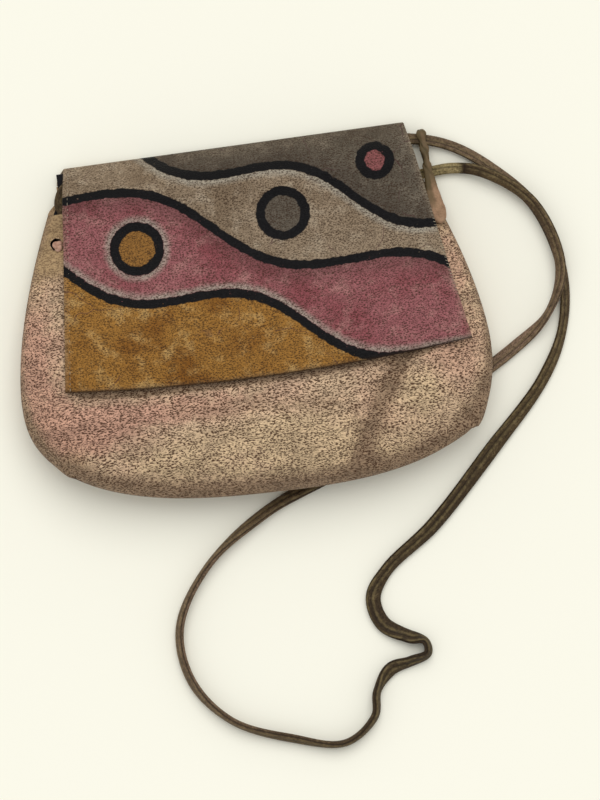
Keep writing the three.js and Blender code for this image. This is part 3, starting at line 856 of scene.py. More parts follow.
def leather_masks(x, y, edge):
    olive = smooth((y - 22) / 26) * smooth((np.abs(x) - 70) / 14) + 0.5 * patches(x, y, olive_spots)
    # Darker towards the sewn edges and the bottom: partly wear, partly painted shade where the surface turns
    # away.
    worn = smooth((17 - edge) / 17) * smooth((-8 - y) / 60) + 0.55 * smooth((6 - edge) / 6)
    offset, share = along_line(x, y, *valley_line)
    # Painted shade in the diagonal valley and in the sag below the flap.
    worn = worn + 0.8 * between(share) * bump_at(offset + 2.2 * hills(x, y, 14, 8), 7.5)
    sag_offset, sag_share = along_line(x, y, *sag_line)
    worn = worn + 0.45 * between(sag_share) * bump_at(sag_offset + 1.5 * hills(x, y, 16, 41), 6)
    flap_foot = foot_middle_y + foot_rise * (x / 105) ** 2
    # A painted shadow line just under the flap's lower edge.
    worn = worn + 1.4 * bump_at(y - flap_foot, 2.2) * smooth((100 - np.abs(x)) / 12)
    return {
        "pink": patches(x, y, pink_spots),
        "golden": patches(x, y, golden_spots),
        "olive": np.clip(olive, 0, 1),
        "worn": np.clip(worn, 0, 1),
    }


front_skin = sheet("pouch_front", front_outer, front_inner, [pouch_leather], leather_masks(x, y, front_edge))

# %% [markdown]
# The strap's end is knotted in a hole that was punched through the left ear. A boolean cut makes a clean
# round hole through both faces.

# %% Hole in the left ear
knot_from_mouth = 16.4
knot_from_edge = 10.4
hole_radius = 3.2
hole_shift = (-0.7, 0.7)
punch_length = 16.0

knot_y = mouth_y - knot_from_mouth
knot_x = -(float(half_width(knot_y)) - knot_from_edge)
knot_z = float(front_height(np.array(knot_x), np.array(knot_y)))


def cut(piece, tool):
    """Cuts tool out of piece and leaves a plain mesh."""
    modifier = piece.modifiers.new("cut", "BOOLEAN")
    modifier.operation = "DIFFERENCE"
    modifier.object = tool
    modifier.solver = "EXACT"
    settle(piece)
    bpy.data.objects.remove(tool)


punch = bmesh.new()
bmesh.ops.create_cone(punch, cap_ends=True, segments=40, radius1=hole_radius * MM, radius2=hole_radius * MM,
                      depth=punch_length * MM)
hole_centre = ((knot_x + hole_shift[0]) * MM, (knot_y + hole_shift[1]) * MM, (knot_z - 1) * MM)
bmesh.ops.translate(punch, verts=punch.verts, vec=hole_centre)
punch_mesh = bpy.data.meshes.new("punch")
punch.to_mesh(punch_mesh)
punch.free()
cut(front_skin, add_object("punch", punch_mesh))
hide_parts("front_panel")
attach(front_skin, "pouch")
print("hole at", round(knot_x, 1), round(knot_y, 1), round(knot_z, 1))

# %% [markdown]
# ## Linings
# Each lining follows the same rule as the panel outside it, so it keeps its gap everywhere.

# %% Front lining
lining_below_mouth = 23.0
lining_start = row_at(mouth_y - lining_below_mouth)
lining_rows = np.concatenate([np.linspace(lining_start, 1, 30), 1 + np.arange(1, 31) / 30])
lining_shares = across_shares(70)
lining_inset = np.full(lining_rows.shape, leather + lining_gap)


def lining_shell(extra):
    points = front_points(lining_rows, lining_shares, lining_inset + extra)
    cover = front_points(lining_rows, lining_shares, 0 * lining_inset)
    edge = distance_to_edge(cover[..., 0], cover[..., 1])
    return leaned(points + front_relief(cover[..., 0], cover[..., 1], edge)[..., None] * grid_normals(cover))


front_lining = sheet("pouch_lining_front", lining_shell(0.0), lining_shell(lining), [lining_fabric])
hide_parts("lining_front")
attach(front_lining, "pouch")

# %% [markdown]
# ## Back panel
# The back rests on the floor. It is flat in the middle and rises to the seam at the sides. At the top it
# ends in a seam, where the flap's leather takes over and goes round the fold.

# %% Back panel
hinge_below_fold = 1.2
hinge_height = 5.2
hinge_clearance = 0.35
hinge_y = fold_y - hinge_below_fold
turn_start_y = mouth_y + shoulder_length
turn_end_y = hinge_y + leather * 0.35
turn_end_z = hinge_height - leather / 2 - hinge_clearance - leather * 0.25
back_seam_y = turn_start_y + 1.0


def back_relief(x, y, edge):
    """Low hollows that lift off the floor, which the flat parts rest on."""
    hollow = np.clip(0.5 * hills(x, y, 40, 41) + 0.3 * hills(x, y, 16, 43), 0, None)
    gathers = 0.25 * np.sin(np.arctan2(y - 10, x) * 112 * 2 * math.pi / 8) * bump_at(edge - 5, 5)
    return (hollow * smooth((80 - y) / 12) + (gathers + 0.25) * smooth((20 - y) / 40)) * smooth(edge / 4)


def back_points(y, half, raised):
    x = half[:, None] * back_shares[None, :]
    y = np.broadcast_to(y[:, None], x.shape)
    return np.stack([x, y, back_height(x, y, raised)], axis=2)


back_shares = across_shares(150)
seam_end = back_seam_y - leather / 2 * np.array([0, 0.1, 0.35, 0.7, 1.2])
back_neck = np.linspace(back_seam_y - 2, mouth_y, 12)
back_body = row_y(np.concatenate([np.arange(1, 61) / 60, 1 + np.arange(1, 56) / 55]))
back_rows_y = np.concatenate([seam_end, back_neck, back_body])
back_rows_half = half_width(back_rows_y)
back_rounded = round_edge(back_seam_y - back_rows_y, leather / 2)[:, None]


def back_shell(share):
    """A face of the back panel: share 1 is the inner face and -1 the outer."""
    raised = leather / 2 * share * back_rounded - leather / 2
    points = back_points(back_rows_y, back_rows_half, raised)
    edge = distance_to_edge(points[..., 0], points[..., 1])
    points[..., 2] += back_relief(points[..., 0], points[..., 1], edge)
    return points if share > 0 else seam_groove(points, 0.7, 1.6)


back_upper = back_shell(1)
back_lower = back_shell(-1)
back_edge = distance_to_edge(back_upper[..., 0], back_upper[..., 1])
back_masks = leather_masks(back_upper[..., 0], back_upper[..., 1], back_edge)
back_skin = sheet("pouch_back", leaned(back_upper), leaned(back_lower), [pouch_leather], back_masks)
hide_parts("back_panel")
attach(back_skin, "pouch")

# %% Back lining, up to the fold
turn_lining_share = 0.7


def back_turn(share, offset):
    """The path of the leather under the fold, as a quarter of an ellipse: its y and z at a share."""
    angle = share * math.pi / 2
    reach_y = turn_end_y - turn_start_y
    reach_z = turn_end_z - leather / 2
    y = turn_start_y + reach_y * math.sin(angle)
    z = leather / 2 + reach_z * (1 - math.cos(angle))
    normal = np.array([-reach_z * math.sin(angle), reach_y * math.cos(angle)])
    normal = normal / np.linalg.norm(normal)
    return y + normal[0] * offset, z + normal[1] * offset


def back_lining_shell(height):
    shares = across_shares(60)
    rows = []
    for share in np.linspace(turn_lining_share, 0.08, 8):
        y, z = back_turn(share, height + leather / 2)
        half = float(half_width(y)) - 0.8
        rows.append(np.stack([half * shares, np.full(shares.shape, y), np.full(shares.shape, z)], axis=1))
    inside_hem = 2 * leather + 0.5
    flat_y = np.concatenate([np.linspace(turn_start_y, mouth_y, 10), row_y(np.arange(1, 31) / 30),
                             row_y(1 + np.arange(1, 28) / 28, inside_hem)])
    for y in flat_y:
        inset = mix(inside_hem, 0.8, float(smooth((y - mouth_y) / shoulder_length)))
        x = float(half_width(y, inset)) * shares
        level = np.full(shares.shape, y)
        edge = distance_to_edge(x, level)
        z = back_height(x, level, height) + back_relief(x, level, edge)
        rows.append(np.stack([x, level, z], axis=1))
    return leaned(np.array(rows))


back_lining_top = back_lining_shell(lining_gap + lining)
back_lining = sheet("pouch_lining_back", back_lining_top, back_lining_shell(lining_gap), [lining_fabric])
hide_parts("lining_back")
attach(back_lining, "pouch")

# %% [markdown]
# ## The flap
# The flap lies over the front and falls round to the fold. Its side and lower edges are turned in, so
# they are thick and round, and a row of stitches presses a shallow groove along each side. Its leather
# goes round the fold as one piece and is sewn to the back panel behind it.

# %% Shape of the flap
flap_top_width = 183.0
flap_bottom_width = 215.0
flap_top_shift = 4.3
flap_bottom_shift = 7.0
flap_length = 119.0
flap_mean_width = 200.0
flap_bottom_sag = 5.5
flap_clearance = 0.75
flap_stiffness = 14.0
flap_lining_gap = 0.35
stitch_inset = 2.7
hem_turn = 8.0

flap_end_y = fold_y - flap_length
flap_shell = leather / 2


def hinge_rise(y):
    return np.sin(np.clip((hinge_y - y) / (hinge_y - mouth_y), 0, 1) * math.pi / 2)


def over_pouch(x, y):
    distance = distance_to_edge(x, y)
    inside = np.where(np.abs(x) < half_width(y), distance, -distance)
    share = round_edge(inside + flap_stiffness, front_rounding + flap_stiffness)
    return mix(seam_height(y), crown_height(y), share)


def flap_support(x, y):
    return mix(hinge_height, over_pouch(x, np.minimum(y, mouth_y)), hinge_rise(y))


def flap_surface(u, v, offset):
    """A point of the flap: u runs from its left edge to its right and v from the hinge to its free edge.
    offset is the distance from the middle of the leather."""
    side = 2 * u - 1
    free_y = flap_end_y - flap_bottom_sag * (1 - side * side)
    y = mix(hinge_y, free_y, v)
    x = mix(flap_top_shift, flap_bottom_shift, v) + side * mix(flap_top_width, flap_bottom_width, v) / 2
    level = np.minimum(y, hinge_y - 0.5)
    probe = 0.5
    slope_x = (flap_support(x + probe, level) - flap_support(x - probe, level)) / (2 * probe)
    slope_y = (flap_support(x, level + probe) - flap_support(x, level - probe)) / (2 * probe)
    normal = np.stack([-slope_x, -slope_y, np.ones_like(slope_x)], axis=-1)
    normal /= np.linalg.norm(normal, axis=-1, keepdims=True)
    lift = flap_clearance + lining + flap_lining_gap + flap_shell
    base = np.stack([x, y, flap_support(x, y)], axis=-1)
    return base + normal * (lift * hinge_rise(y) + offset)[..., None]


def flap_edge_distance(u, v):
    """Distance from the nearest side edge, and from the free edge."""
    width = mix(flap_top_width, flap_bottom_width, v)
    return np.minimum(u, 1 - u) * width, (1 - v) * flap_length


def flap_relief(u, v):
    """Slow waves in the stiff leather, which grow towards the free edge."""
    x = (2 * u - 1) * flap_mean_width / 2
    y = -v * flap_length
    waves = 0.30 * hills(x, y, 36, 51) + 0.14 * hills(x, y, 14, 53)
    edge_wave = 0.55 * v ** 4 * (0.6 + hills(x, 0 * y, 33, 57))
    return (waves * smooth(v / 0.25) + edge_wave) * smooth((v - 0.04) / 0.1)


def flap_offsets(u, v):
    """Offsets of the two faces from the middle of the leather."""
    side, end = flap_edge_distance(u, v)
    edge = np.minimum(side, end)
    rounded = round_edge(edge, 1.0)
    ridge = smooth(v / 0.08)
    puff = 0.16 * bump_at(side - 1.4, 1.1) + 0.10 * bump_at(side - 6, 1.8)
    puff = puff - 0.26 * bump_at(side - stitch_inset, 0.5)
    outer = (flap_shell + puff * ridge) * rounded
    hem = smooth((hem_turn - edge) / 0.8) * smooth((v - 0.06) / 0.03)
    inner = -(flap_shell + 0.75 * hem) * rounded
    return outer, inner


flap_u = steps_with_edges(flap_mean_width, 1.15, 1.0) / flap_mean_width
flap_down = (flap_length - steps_with_edges(flap_length, 1.1, 1.0, both=False))[::-1] / flap_length
flap_v = np.concatenate([flap_down[:-5] ** 1.25, flap_down[-5:]])
grid_u, grid_v = np.meshgrid(flap_u, flap_v)
outer_offset, inner_offset = flap_offsets(grid_u, grid_v)
waves = flap_relief(grid_u, grid_v)
flap_outer = flap_surface(grid_u, grid_v, outer_offset + waves)
flap_inner = flap_surface(grid_u, grid_v, inner_offset + waves)

# %% Round the fold and down to the seam behind it


def fold_rows(face):
    """Rows from the seam behind the bag up to the hinge. face 1 is outside and -1 inside."""
    start_width = 2 * float(half_width(back_seam_y)) - 0.6
    rows = []
    seam_rim = np.array([0, 0.1, 0.35, 0.7, 1.2]) * leather / 2
    turn_length = turn_end_y - back_seam_y
    shares = np.concatenate([seam_rim / turn_length * 0.55, np.linspace(0.12, 1.0, 14)])
    for share in shares:
        climb = mix(0.1, 1.0, share)
        thick = float(round_edge(share * turn_length / 0.55, leather / 2)) * leather / 2
        y, z = back_turn(climb, -face * thick)
        width = mix(start_width, flap_top_width, float(smooth(share)))
        x = flap_top_shift * float(smooth(share)) + (flap_u - 0.5) * width
        side = np.minimum(flap_u, 1 - flap_u) * width
        pinch = round_edge(side, 1.0)
        mid_y, mid_z = back_turn(climb, 0)
        rows.append(np.stack([x, mid_y + (y - mid_y) * pinch, mid_z + (z - mid_z) * pinch], axis=1))
    return np.array(rows)


fold_outer = fold_rows(1)
fold_inner = fold_rows(-1)
skin_outer = np.concatenate([fold_outer, flap_outer[1:]])
skin_inner = np.concatenate([fold_inner, flap_inner[1:]])
print("flap grid", skin_outer.shape[:2])

# %% [markdown]
# ### Paint
# The flap is painted by hand. Here that is a plain design of three waves of ink between fields of ochre,
# rose, stone and slate, with three discs. Each line is a mask from how far a point lies from a wave or a
# ring. The distances come from two small groups, so that a line's edge, its pale border and its soft
# shadow can all be cut from the same number.

# %% Distance from a wave and from a ring
paint_tilt = math.radians(-20)
line_width = 5.0
# Colour of a painted shadow line along the flap's lower edge.
lower_edge_shadow_colour = "#2a1e16"
paint_middle = (mix(flap_top_shift, flap_bottom_shift, 0.5), fold_y - flap_length / 2)


def make_wave_group():
    inputs = [("Place", "Vector", None), ("Level", "Float", 0.0), ("Height", "Float", 0.08),
              ("Length", "Float", 1.0), ("Crest", "Float", 0.0)]
    tree, made, given, result = new_group("wave_distance", inputs, [("Above", "Float")])
    axes = made.add("ShaderNodeSeparateXYZ", {"Vector": given["Place"]}).outputs
    phase = made.sum("DIVIDE", made.sum("SUBTRACT", axes["X"], given["Crest"]), given["Length"])
    swing = made.sum("COSINE", made.sum("MULTIPLY", phase, 2 * math.pi))
    level = made.sum("MULTIPLY_ADD", swing, given["Height"], given["Level"])
    made.feed(result["Above"], made.sum("MULTIPLY", made.sum("SUBTRACT", axes["Y"], level), flap_length))
    return tree


def make_ring_group():
    inputs = [("Place", "Vector", None), ("Centre", "Vector", None), ("Radius", "Float", 0.1)]
    tree, made, given, result = new_group("ring_distance", inputs, [("Outside", "Float")])
    gap = made.add("ShaderNodeVectorMath", {0: given["Place"], 1: given["Centre"]}, operation="DISTANCE")
    outside = made.sum("SUBTRACT", gap.outputs["Value"], given["Radius"])
    made.feed(result["Outside"], made.sum("MULTIPLY", outside, flap_length))
    return tree


wave_group = make_wave_group()
ring_group = make_ring_group()
waves_of_ink = [
    {"Level": -0.25, "Height": 0.075, "Length": 1.1, "Crest": 0.04},
    {"Level": 0.08, "Height": 0.085, "Length": 1.26, "Crest": -0.5},
    {"Level": 0.36, "Height": 0.07, "Length": 1.0, "Crest": 0.13},
]
discs = [
    {"Centre": (-0.5, -0.08, 0), "Radius": 0.1, "paint": "#8a6230"},
    {"Centre": (0.1, 0.213, 0), "Radius": 0.1, "paint": "#5a5247"},
    {"Centre": (0.45, 0.53, 0), "Radius": 0.065, "paint": "#85504f"},
]


def make_flap_paint():
    material, made, shader = new_material("painted_flap_leather")
    place = made.flat_map()
    plan = made.flat_map("paint")
    centred = made.move("SUBTRACT", plan, (paint_middle[0] * MM, paint_middle[1] * MM, 0))
    turned = made.add("ShaderNodeVectorRotate", {"Vector": centred, "Angle": -paint_tilt},
                      rotation_type="Z_AXIS").outputs[0]
    shares = made.grow(turned, 1000.0 / flap_length)
    shaky = made.cloud(place, 0.004, 3.0, 0.6)
    wobble = made.step(shaky, 0.2, 0.8, -0.75, 0.75, "LINEAR")

    above = [made.sum("ADD", made.group(wave_group, {"Place": shares, **wave}).outputs[0], wobble)
             for wave in waves_of_ink]
    outside = []
    for disc in discs:
        values = {"Place": shares, "Centre": disc["Centre"], "Radius": disc["Radius"]}
        outside.append(made.sum("ADD", made.group(ring_group, values).outputs[0], wobble))

    slow = made.cloud(place, 0.034, 3.0, 0.55)
    quick = made.cloud(made.move("ADD", place, (0.3, 0.1, 0)), 0.011, 4.0, 0.62)
    fleck = made.cloud(place, 0.0012, 2.0, 0.6)

    def field(dark, plain, pale):
        low = made.blend(made.step(slow, 0.34, 0.56), colour(dark), colour(plain))
        return made.blend(made.step(quick, 0.48, 0.72), low, colour(pale))

    paint = field("#7a4f1d", "#956a30", "#b08c55")
    paint = made.blend(made.step(above[0], -0.3, 0.3), paint, field("#84484c", "#925a5c", "#a2716d"))
    paint = made.blend(made.step(above[1], -0.3, 0.3), paint, field("#7c6a55", "#8e7c66", "#a2927c"))
    paint = made.blend(made.step(above[2], -0.3, 0.3), paint, field("#443d33", "#5b5347", "#71685a"))
    for disc, distance in zip(discs, outside):
        paint = made.blend(made.step(distance, -0.3, 0.3, 1.0, 0.0), paint, colour(disc["paint"]))

    def fringe(distance, near, far):
        """1 beside a line, from near to far millimetres off its middle."""
        starts = made.step(distance, near - 0.4, near + 0.4)
        return made.sum("MULTIPLY", starts, made.step(distance, near + 0.6, far, 1.0, 0.0))

    half_line = line_width / 2
    below = [made.sum("MULTIPLY", distance, -1) for distance in above]
    dusk = made.sum("MAXIMUM", fringe(above[2], half_line - 1, 17), fringe(below[1], 1, 15))
    paint = made.stain(paint, dusk, 0.4, "#3d352f")
    halo = made.sum("MAXIMUM", fringe(above[0], half_line, 7.5), fringe(outside[0], half_line, 7.2))
    halo = made.sum("MAXIMUM", halo, fringe(below[2], half_line, 7.5))
    halo = made.sum("MULTIPLY", halo, made.step(quick, 0.3, 0.55, 0.6, 1.0))
    paint = made.stain(paint, halo, 0.72, "#a09a8c")

    rubbed = made.sum("MULTIPLY", made.painted("rubbed"), made.step(quick, 0.35, 0.65, 0.35, 1.0))
    paint = made.stain(paint, rubbed, 0.55, "#a08d76")

    pits, grain_height = pores_on(made, place, 1.05, 1.15, 0.46, 2.0, 0.9)
    light = made.step(fleck, 0.3, 0.7, 0.78, 1.2)
    paint = made.shade(paint, light)
    paint = made.stain(paint, pits, 0.8, "#38261a")

    strayed = made.move("ADD", plan, made.grow(made.cloud(place, 0.02, output="Color"), 0.02))
    cracks = made.cells(made.grow(strayed, 1000 / 47), "DISTANCE_TO_EDGE").outputs["Distance"]
    crack = made.sum("MULTIPLY", made.step(cracks, 0.002, 0.009, 1.0, 0.0), made.step(slow, 0.5, 0.6))
    paint = made.stain(paint, crack, 0.6, "#4a2f30")

    ink = None
    for distance in above + outside:
        near = made.sum("ABSOLUTE", distance)
        band = made.step(near, half_line - 0.3, half_line + 0.3, 1.0, 0.0)
        ink = band if ink is None else made.sum("MAXIMUM", ink, band)
    skipped = made.step(made.sum("MULTIPLY", fleck, shaky), 0.38, 0.5, 1.0, 0.35)
    ink = made.sum("MULTIPLY", ink, skipped)
    paint = made.blend(ink, paint, colour("#100f10"))

    # Painted shadow line along the flap's lower edge.
    paint = made.stain(paint, made.painted("foot"), 0.8, lower_edge_shadow_colour)
    surface(made, shader, paint, made.step(ink, 0.0, 1.0, 0.66, 0.5), 0.08)
    height = made.sum("MULTIPLY_ADD", ink, 0.35, grain_height)
    leather_bump(made, shader, height, 0.00014, place)
    return material


flap_paint = make_flap_paint()

# %% [markdown]
# ### The flap's bare underside
# Where the leather is turned in, its suede side doesn't show, but its unpainted face does.

# %% Bare leather


def make_bare_leather():
    material, made, shader = new_material("flap_bare_leather")
    place = made.flat_map()
    pores, height = pores_on(made, place, 0.95, 1.3, 0.3, 2.0, 0.6)
    quick = made.cloud(place, 0.006, 4.0, 0.6)
    fleck = made.cloud(place, 0.0009, 2.0)
    base = made.blend(made.step(quick, 0.35, 0.65), colour("#7d6c58"), colour("#9a8a74"))
    light = made.step(fleck, 0.3, 0.7, 0.88, 1.12)
    base = made.shade(base, light)
    base = made.stain(base, pores, 0.6, "#3f3024")
    # The same painted shadow line on the edge's underside.
    base = made.stain(base, made.painted("foot"), 0.8, lower_edge_shadow_colour)
    surface(made, shader, base, made.step(quick, 0.3, 0.7, 0.6, 0.75), 0.3)
    leather_bump(made, shader, height, 0.00014, place)
    return material


bare_leather = make_bare_leather()

# %% Flap skin
skin_plan = skin_outer[..., :2].copy()
rows_of_fold = len(fold_outer)
skin_u = np.broadcast_to(flap_u, skin_outer.shape[:2])
skin_v = np.concatenate([np.zeros((rows_of_fold, len(flap_u))), grid_v[1:]])
side_gap, end_gap = flap_edge_distance(skin_u, skin_v)
rubbed_mask = 0.8 * bump_at(side_gap, 2.2) + 0.45 * bump_at(end_gap, 1.4) + 0.35 * bump_at(skin_v, 0.05)
# The last 1.3 mm of the free edge is darkened as a painted shadow line.
skin_masks = {"rubbed": np.clip(rubbed_mask, 0, 1), "foot": smooth((1.3 - end_gap) / 0.8)}
flap_skin = sheet("flap_skin", skin_outer, skin_inner, [flap_paint, bare_leather], skin_masks,
                  {"paint": skin_plan})
painted_nodes = [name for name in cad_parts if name.startswith("paint_")]
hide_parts("flap_leather", *painted_nodes)
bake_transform(flap_skin)

# %% Flap lining, inside the turned edges
lining_inside = hem_turn + 0.5
lining_u = mix(lining_inside, flap_mean_width - lining_inside, np.linspace(0, 1, 90)) / flap_mean_width
lining_v = mix(0.035, 1 - lining_inside / flap_length, np.linspace(0, 1, 56))
lu, lv = np.meshgrid(lining_u, lining_v)
lining_wrinkle = 0.12 * hills(lu * flap_mean_width, lv * flap_length, 9, 61) - 0.12
under = -flap_shell - flap_lining_gap + flap_relief(lu, lv)
lining_top = flap_surface(lu, lv, under)
lining_bottom = flap_surface(lu, lv, under - lining + lining_wrinkle)
flap_lining = sheet("flap_lining_fabric", lining_top, lining_bottom, [lining_fabric])
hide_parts("flap_lining")
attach(flap_lining, "flap")

# %% [markdown]
# ## Stitches
# A stitch is a short thread that rises from one hole and sinks into the next. Hundreds of them follow a
# line, which is what Geometry Nodes are for: the line goes in as a chain of points that know which way
# is up, is divided evenly, and gets one small spindle at each division.

# %% Thread


def make_thread():
    material, made, shader = new_material("pale_thread")
    place = made.add("ShaderNodeTexCoord").outputs["Object"]
    tone = made.cloud(place, 0.003, 2.0)
    twist = made.add("ShaderNodeTexWave", {"Vector": place, "Scale": 900.0, "Distortion": 2.0}).outputs["Fac"]
    base = made.blend(made.step(tone, 0.35, 0.65), colour("#7f7462"), colour("#a59a84"))
    surface(made, shader, base, made.step(tone, 0.3, 0.7, 0.7, 0.85))
    woven_bump(made, shader, twist, 0.00006, 0.7)
    return material


thread = make_thread()

# %% A tree that sews along a line


def make_sewing_tree():
    inputs = [
        ("Line", "Geometry", None),
        ("Pitch", "Float", 0.003),
        ("Length", "Float", 0.0024),
        ("Width", "Float", 0.0007),
        ("Height", "Float", 0.0005),
        ("Slant", "Float", 0.0),
        ("Seed", "Int", 1),
        ("Thread", "Material", None),
    ]
    tree, made, given, result = new_group("sewing", inputs, [("Stitches", "Geometry")], "Geometry")
    tree.is_modifier = True
    line = made.add("GeometryNodeMeshToCurve", {"Mesh": given["Line"]}).outputs[0]
    divided = {"Curve": line, "Length": given["Pitch"]}
    even = made.add("GeometryNodeResampleCurve", divided, mode="LENGTH").outputs[0]
    up = made.add("GeometryNodeInputNamedAttribute", {"Name": "up"}, data_type="FLOAT_VECTOR").outputs[0]
    along = made.add("GeometryNodeInputTangent").outputs[0]
    sideways = made.move("CROSS_PRODUCT", up, along)
    leaning = made.move("ADD", along, made.grow(sideways, given["Slant"]))
    turn = made.add("FunctionNodeAxesToRotation", {0: leaning, 1: up}, primary_axis="X",
                    secondary_axis="Z").outputs[0]
    spindle = made.add("GeometryNodeMeshUVSphere", {"Segments": 8, "Rings": 6, "Radius": 0.5}).outputs[0]
    box = {0: given["Length"], 1: given["Width"], 2: given["Height"]}
    size = made.add("ShaderNodeCombineXYZ", box).outputs[0]
    shaped = made.add("GeometryNodeTransform", {"Geometry": spindle, "Scale": size}).outputs[0]
    random = made.add("FunctionNodeRandomValue", {"Seed": given["Seed"]}, data_type="FLOAT_VECTOR")
    random.inputs[0].default_value = (0.85, 0.8, 0.7)
    random.inputs[1].default_value = (1.1, 1.15, 1.2)
    placed = made.add("GeometryNodeInstanceOnPoints", {"Points": even, "Instance": shaped, "Rotation": turn,
                                                       "Scale": random.outputs[0]}).outputs[0]
    made.feed(result["Stitches"], made.solid(placed, given["Thread"]))
    return tree


sewing = make_sewing_tree()


def sew(name, line, sizes, body, seed):
    """Stitches along a line of points in millimetres, with the outward direction at each."""
    points, ups = line
    piece = chain(name, points * MM)
    up = piece.data.attributes.new("up", "FLOAT_VECTOR", "POINT")
    up.data.foreach_set("vector", ups.astype(np.float32).ravel())
    result = run_tree(piece, sewing, {**sizes, "Seed": seed, "Thread": thread})
    result.shade_smooth()
    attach(piece, body)
    print(name, "has", len(result.polygons), "faces")
    return piece


# %% Stitches of the flap's hems


def flap_line(inset, right, above, start=0.03, end=0.985, count=160):
    """A line down one side of the flap, at an inset from its edge."""
    v = np.linspace(start, end, count)
    width = mix(flap_top_width, flap_bottom_width, v)
    u = inset / width
    if right:
        u = 1 - u
    height = flap_offsets(u, v)[0] + flap_relief(u, v)
    base = flap_surface(u, v, height)
    tip = flap_surface(u, v, height + 1.0)
    up = tip - base
    return base + up * above, up / np.linalg.norm(up, axis=1, keepdims=True)


stitch_pitch = 0.0029
hem_sizes = {"Pitch": stitch_pitch, "Length": 0.0021, "Width": 0.00042, "Height": 0.00036}
left_stitches = sew("flap_stitches_left", flap_line(stitch_inset, False, 0.05), hem_sizes, "flap", 4)
sunk_sizes = {"Pitch": stitch_pitch, "Length": 0.0018, "Width": 0.00034, "Height": 0.0003}
right_stitches = sew("flap_stitches_right", flap_line(stitch_inset, True, 0.0), sunk_sizes, "flap", 5)

# %% [markdown]
# Along the right edge, loose pale thread wraps the leather. It is the same tree, with short stitches that
# lie across the line.

# %% Worn thread round the right edge
wrap_inset = 0.75
wrap_sizes = {"Pitch": 0.0019, "Length": 0.0017, "Width": 0.00035, "Height": 0.00035, "Slant": 2.2}
wrap_line = flap_line(wrap_inset, True, -0.02, 0.1, 0.8, 120)
edge_wrap = sew("flap_edge_thread", wrap_line, wrap_sizes, "flap", 9)

# %% [markdown]
# ## The strap
# The strap is one strip of leather folded lengthways to a flat cord. Its section is drawn once, with the
# groove where the fold closes and the slit along one side, and Geometry Nodes sweep it along the route.
# The route's points are the solid model's own, so the strap lies where its solid lies.

# %% Route of the strap
strap_width = 8.0
strap_thickness = 3.8
strap_route = [
    (-94.5, 55.6, 9.6, 0, 4.2), (-89.2, 68, 9.2, 0, 7.4), (-90.2, 75, 6.9, 0, 8), (-86.2, 82, 4.5, 0, 8),
    (-76, 84.4, 3.6, 0, 8), (80, 84.6, 3.2, 0, 8), (103, 82.7, 2.6, 0.25, 6), (121, 75.9, 0.8, 0.25, 6),
    (140, 61.3, 0, 0.25, 6), (159.3, 38.4, 0, 0.25, 6), (168.7, 3, 0, 0.33, 5.8),
    (164.7, -26.7, 0, 0.45, 6), (150.8, -52.2, 0, 0.4, 7), (118.6, -85.8, 0, 0.1, 8),
    (82.1, -121.6, 0, 0.32, 8), (54.5, -141.7, 0, 0.35, 7.4), (45.2, -155.5, 0, 0, 8.2),
    (48.6, -170, 0, 0, 8.5), (61, -178.4, 0, 0.4, 8), (69.6, -182.2, 0, 0.9, 8), (70, -188.7, 0, 0.85, 8),
    (60.5, -191.7, 0, 0.62, 7.6), (49.4, -194.4, 0, 0.35, 8), (40.6, -205, 0, 0.85, 8),
    (37.6, -218, 0, 0.9, 8), (20.5, -230, 0, 1, 8), (-7.3, -223.9, 0, 0.8, 8), (-37.9, -210.4, 0, 0.95, 8),
    (-56.3, -187, 0, 0.8, 8), (-58.9, -157.5, 0, 0.85, 8), (-39.8, -127.1, 0, 1, 8),
    (-6.2, -103.2, 0, 0.6, 8), (42, -83, 0, 0.2, 8), (137.5, -34.2, 0, 0.1, 6.8),
    (158.6, -17.4, 2.4, 0.7, 6), (168, 6, 5.4, 0.3, 6), (158, 41, 5.2, 0.25, 6),
    (134.5, 60.6, 4.9, 0.15, 6.2), (118, 65.2, 1.5, 0.05, 6), (91.5, 63.4, 1.2, 0, 5),
]
strap_steps = 10


def flowing(points, steps):
    """A smooth curve through points, with the same number of steps between each two."""
    p = np.asarray(points, float)
    p = np.vstack([2 * p[0] - p[1], p, 2 * p[-1] - p[-2]])
    found = []
    t = np.arange(steps)[:, None] / steps
    for i in range(1, len(p) - 2):
        a, b, c, d = p[i - 1:i + 3]
        gaps = [math.sqrt(max(np.linalg.norm(e), 1e-6)) for e in (b - a, c - b, d - c)]
        leave = ((b - a) / gaps[0] - (c - a) / (gaps[0] + gaps[1]) + (c - b) / gaps[1]) * gaps[1]
        arrive = ((c - b) / gaps[1] - (d - b) / (gaps[1] + gaps[2]) + (d - c) / gaps[2]) * gaps[1]
        found.append(b + leave * t + (3 * (c - b) - 2 * leave - arrive) * t ** 2
                     + (2 * (b - c) + leave + arrive) * t ** 3)
    return np.vstack(found + [p[-2:-1]])


# %% Section of the folded strip


def strap_section(count=48):
    """Points round the section: across the strap, and up."""
    angle = np.arange(count) / count * 2 * math.pi
    across = strap_width / 2 * np.sign(np.cos(angle)) * np.abs(np.cos(angle)) ** 0.62
    up = strap_thickness / 2 * np.sign(np.sin(angle)) * np.abs(np.sin(angle)) ** 0.8
    on_top = smooth(up / 0.8)
    fold_line = 0.9
    up = up - on_top * (0.55 * bump_at(across - fold_line, 0.42) + 0.22 * smooth((across - fold_line) / 0.6))
    slit = 0.62 * bump_at(up - 0.1, 0.42) * smooth((across - 3.0) / 0.5)
    return np.stack([across - slit, up], axis=1)


section = strap_section()
plan = flowing([p[:2] for p in strap_route], strap_steps)
stage = np.arange(len(plan)) / strap_steps
nearest = np.floor(stage).astype(int)
share = smooth(stage - nearest)
following = np.minimum(nearest + 1, len(strap_route) - 1)
route_values = np.array([p[2:] for p in strap_route])
under, turned, pinched = mix(route_values[nearest], route_values[following], share[:, None]).T
turn_angle = turned * math.pi / 2
swell = pinched / strap_width
